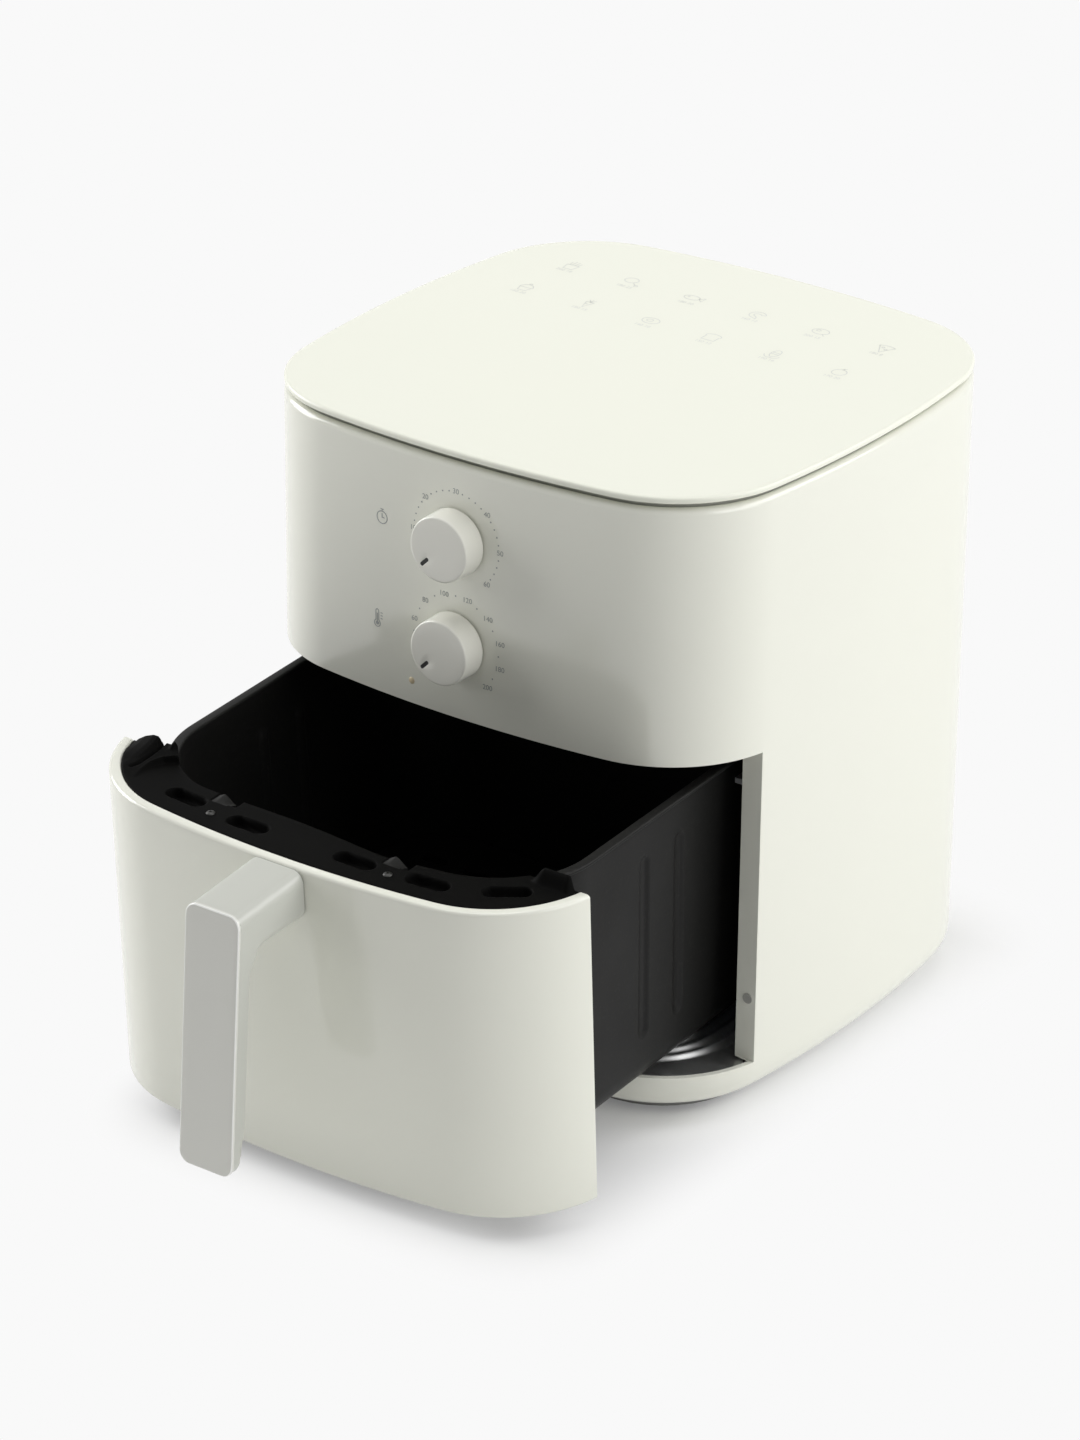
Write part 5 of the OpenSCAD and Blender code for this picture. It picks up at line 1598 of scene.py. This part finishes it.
# name, place, size and power of each lamp, all facing the same point
LAMPS = (("Top", (0.1, 0.1, 2.3), 1.8, 18.9), ("Right", (2.0, -0.1, 1.0), 1.4, 16.4),
         ("Right back", (1.6, 1.2, 1.5), 1.4, 21.4), ("Left", (-2.0, -0.4, 1.0), 1.4, 36.8))
LAMP_TARGET = (0, -0.04, 0.14)
# tone of the backdrop, share of it that the floor keeps near the object, and strength of the even light
WHITE, FLOOR_GLOW, AIR = 0.947, 0.15, 0.128
# the object's footprint as a box: its middle, half of its size, and how far round it the shadow fades
FOOT_MIDDLE, FOOT_HALF, FOOT_FADE = (0.015, -0.05, 0), (0.08, 0.165, 1), 0.06
# the camera: turn, rise and lean in degrees, distance, the point it faces, its focal length and the height of
# its view in pixels, and its sensor in millimetres
TURN, RISE, LEAN, DISTANCE = 35.837, 25.615, 0.553, 2.4488
CAMERA_TARGET = (-0.008363, -0.054788, 0.147239)
FOCAL_PX, VIEW_PX, SENSOR = 5444.3, 1440, 36


def lamp(name, place, size, power):
    """A square soft lamp of the given size at place, facing the lamps' common target."""
    data = bpy.data.lights.new(name, "AREA")
    data.shape, data.size, data.energy = "SQUARE", size, power
    obj = bpy.data.objects.new(name, data)
    bpy.context.scene.collection.objects.link(obj)
    obj.location = place
    obj.rotation_mode = "QUATERNION"
    obj.rotation_quaternion = (Vector(LAMP_TARGET) - Vector(place)).to_track_quat("-Z", "Y")


def backdrop_light(tree, plain, strength):
    """A background of the plain strength that the camera, mirrors and glass see as pale as the backdrop."""
    rays = tree.nodes.new("ShaderNodeLightPath")
    seen = rays.outputs["Is Camera Ray"]
    for other in ("Is Glossy Ray", "Is Transmission Ray"):
        top = add(tree, "ShaderNodeMath", {"operation": "MAXIMUM"})
        tree.links.new(seen, top.inputs[0])
        tree.links.new(rays.outputs[other], top.inputs[1])
        seen = top.outputs[0]
    mix = tree.nodes.new("ShaderNodeMapRange")
    tree.links.new(seen, mix.inputs["Value"])
    mix.inputs["To Min"].default_value, mix.inputs["To Max"].default_value = plain, strength
    return mix.outputs["Result"]


class AIRFRYER_OT_studio(bpy.types.Operator):
    """Studio: a pale floor disc that keeps the shadow, an even world, four soft lamps and the camera."""
    bl_idname = "air_fryer.studio"
    bl_label = "Studio"

    def execute(self, context):
        scene = context.scene
        self.floor(tuple(props("finishes").floor))
        self.world(scene)
        for values in LAMPS:
            lamp(*values)
        self.camera(scene)
        scene.view_settings.view_transform = "Standard"
        return {"FINISHED"}

    @classmethod
    def floor(cls, tone):
        """A disc; the camera sees its lit face near the object and the backdrop's own tone farther out."""
        n, radii = 64, np.array([0.3, 0.7, 1.5, 6.0])
        rings, below = len(radii), -0.2 * MM
        a = np.linspace(0, 2 * math.pi, n, endpoint=False)[:, None]
        grid = np.stack([radii * np.cos(a), radii * np.sin(a), np.full((n, rings), below)], -1)
        faces = [*grid_faces(n, rings, wrap_u=True).tolist(), list(range(0, n * rings, rings))]
        mesh = bpy.data.meshes.new("studio_floor")
        mesh.from_pydata(grid.reshape(-1, 3).tolist(), [], faces)
        mesh.update()
        floor = bpy.data.objects.new("studio_floor", mesh)
        bpy.context.scene.collection.objects.link(floor)
        mesh.materials.append(cls.floor_material(tone))

    @classmethod
    def floor_material(cls, tone):
        """The floor's lit face mixed with a plain glow that only the camera and mirrors see."""
        mat = bpy.data.materials.new("Studio floor")
        mat.use_nodes = True
        tree = mat.node_tree
        shader = tree.nodes["Principled BSDF"]
        shader.inputs["Base Color"].default_value = (*tone, 1)
        shader.inputs["Roughness"].default_value = 0.85
        shader.inputs["Specular IOR Level"].default_value = 0.0
        glow = add(tree, "ShaderNodeEmission", None, Strength=WHITE)
        fade = add(tree, "ShaderNodeMapRange", {"interpolation_type": "SMOOTHSTEP"})
        tree.links.new(cls.distance(tree), fade.inputs["Value"])
        for key, value in (("From Min", 0.0), ("From Max", FOOT_FADE), ("To Min", FLOOR_GLOW), ("To Max", 1.0)):
            fade.inputs[key].default_value = value
        share = add(tree, "ShaderNodeMath", {"operation": "MULTIPLY"})
        tree.links.new(fade.outputs["Result"], share.inputs[0])
        tree.links.new(backdrop_light(tree, 0.0, 1.0), share.inputs[1])
        mix = tree.nodes.new("ShaderNodeMixShader")
        tree.links.new(share.outputs[0], mix.inputs["Fac"])
        tree.links.new(shader.outputs["BSDF"], mix.inputs[1])
        tree.links.new(glow.outputs["Emission"], mix.inputs[2])
        tree.links.new(mix.outputs["Shader"], tree.nodes["Material Output"].inputs["Surface"])
        return mat

    @staticmethod
    def distance(tree):
        """Distance from the object's footprint: the length of abs(point - middle) less half its size."""
        place = add(tree, "ShaderNodeTexCoord").outputs["Object"]
        for operation, value in (("SUBTRACT", FOOT_MIDDLE), ("ABSOLUTE", None), ("SUBTRACT", FOOT_HALF),
                                 ("MAXIMUM", (0, 0, 0)), ("LENGTH", None)):
            away = add(tree, "ShaderNodeVectorMath", {"operation": operation})
            tree.links.new(place, away.inputs[0])
            if value:
                away.inputs[1].default_value = value
            place = away.outputs["Value" if operation == "LENGTH" else "Vector"]
        return place

    @staticmethod
    def world(scene):
        """An even light all round, which the camera sees as the backdrop's tone."""
        world = bpy.data.worlds.new("Studio air")
        world.use_nodes = True
        tree = world.node_tree
        back = tree.nodes["Background"]
        back.inputs["Color"].default_value = (1, 1, 1, 1)
        tree.links.new(backdrop_light(tree, AIR, WHITE), back.inputs["Strength"])
        scene.world = world

    @staticmethod
    def camera(scene):
        """Camera from its turn, rise, lean and distance: side and up are the two axes of its view."""
        a, e, lean = math.radians(TURN), math.radians(RISE), math.radians(LEAN)
        back = Vector((math.sin(a) * math.cos(e), -math.cos(a) * math.cos(e), math.sin(e)))
        right = Vector((math.cos(a), math.sin(a), 0))
        up = back.cross(right)
        side = right * math.cos(lean) + up * math.sin(lean)
        up = up * math.cos(lean) - right * math.sin(lean)
        data = bpy.data.cameras.new("Camera")
        data.sensor_width, data.sensor_fit, data.lens = SENSOR, "AUTO", FOCAL_PX * SENSOR / VIEW_PX
        data.clip_start, data.clip_end = 0.1, 50
        cam = bpy.data.objects.new("Camera", data)
        scene.collection.objects.link(cam)
        turn = Matrix((side, up, back)).transposed().to_4x4()
        cam.matrix_world = Matrix.Translation(Vector(CAMERA_TARGET) + back * DISTANCE) @ turn
        scene.camera = cam


# ---- panel and registration ----

OPERATORS = (AIRFRYER_OT_shell, AIRFRYER_OT_lid, AIRFRYER_OT_chamber, AIRFRYER_OT_basket, AIRFRYER_OT_front,
             AIRFRYER_OT_flange, AIRFRYER_OT_clips, AIRFRYER_OT_handle, AIRFRYER_OT_knobs, AIRFRYER_OT_prints,
             AIRFRYER_OT_guide, AIRFRYER_OT_lens, AIRFRYER_OT_finishes, AIRFRYER_OT_studio)


class AIRFRYER_PT_panel(bpy.types.Panel):
    """The air fryer's groups of pieces, one button each."""
    bl_idname = "AIRFRYER_PT_panel"
    bl_label = "Air fryer"
    bl_space_type = "VIEW_3D"
    bl_region_type = "UI"
    bl_category = "Air Fryer"

    def draw(self, context):
        for operator in OPERATORS:
            self.layout.operator(operator.bl_idname)


GROUPS = {"housing": HousingSizes, "drawer": DrawerSizes, "handle": HandleSizes, "dials": DialSizes,
          "finishes": Finishes}
CLASSES = (*GROUPS.values(), *OPERATORS, AIRFRYER_PT_panel)


def register():
    for cls in CLASSES:
        bpy.utils.register_class(cls)
    for name, group in GROUPS.items():
        setattr(bpy.types.Scene, "air_fryer_" + name, bpy.props.PointerProperty(type=group))


def unregister():
    for name in GROUPS:
        delattr(bpy.types.Scene, "air_fryer_" + name)
    for cls in reversed(CLASSES):
        bpy.utils.unregister_class(cls)


def main():
    """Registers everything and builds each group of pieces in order."""
    register()
    for operator in OPERATORS:
        group, name = operator.bl_idname.split(".")
        if getattr(getattr(bpy.ops, group), name)() != {"FINISHED"}:
            raise RuntimeError(f"{operator.bl_label} didn't finish")


if __name__ == "__main__":
    main()
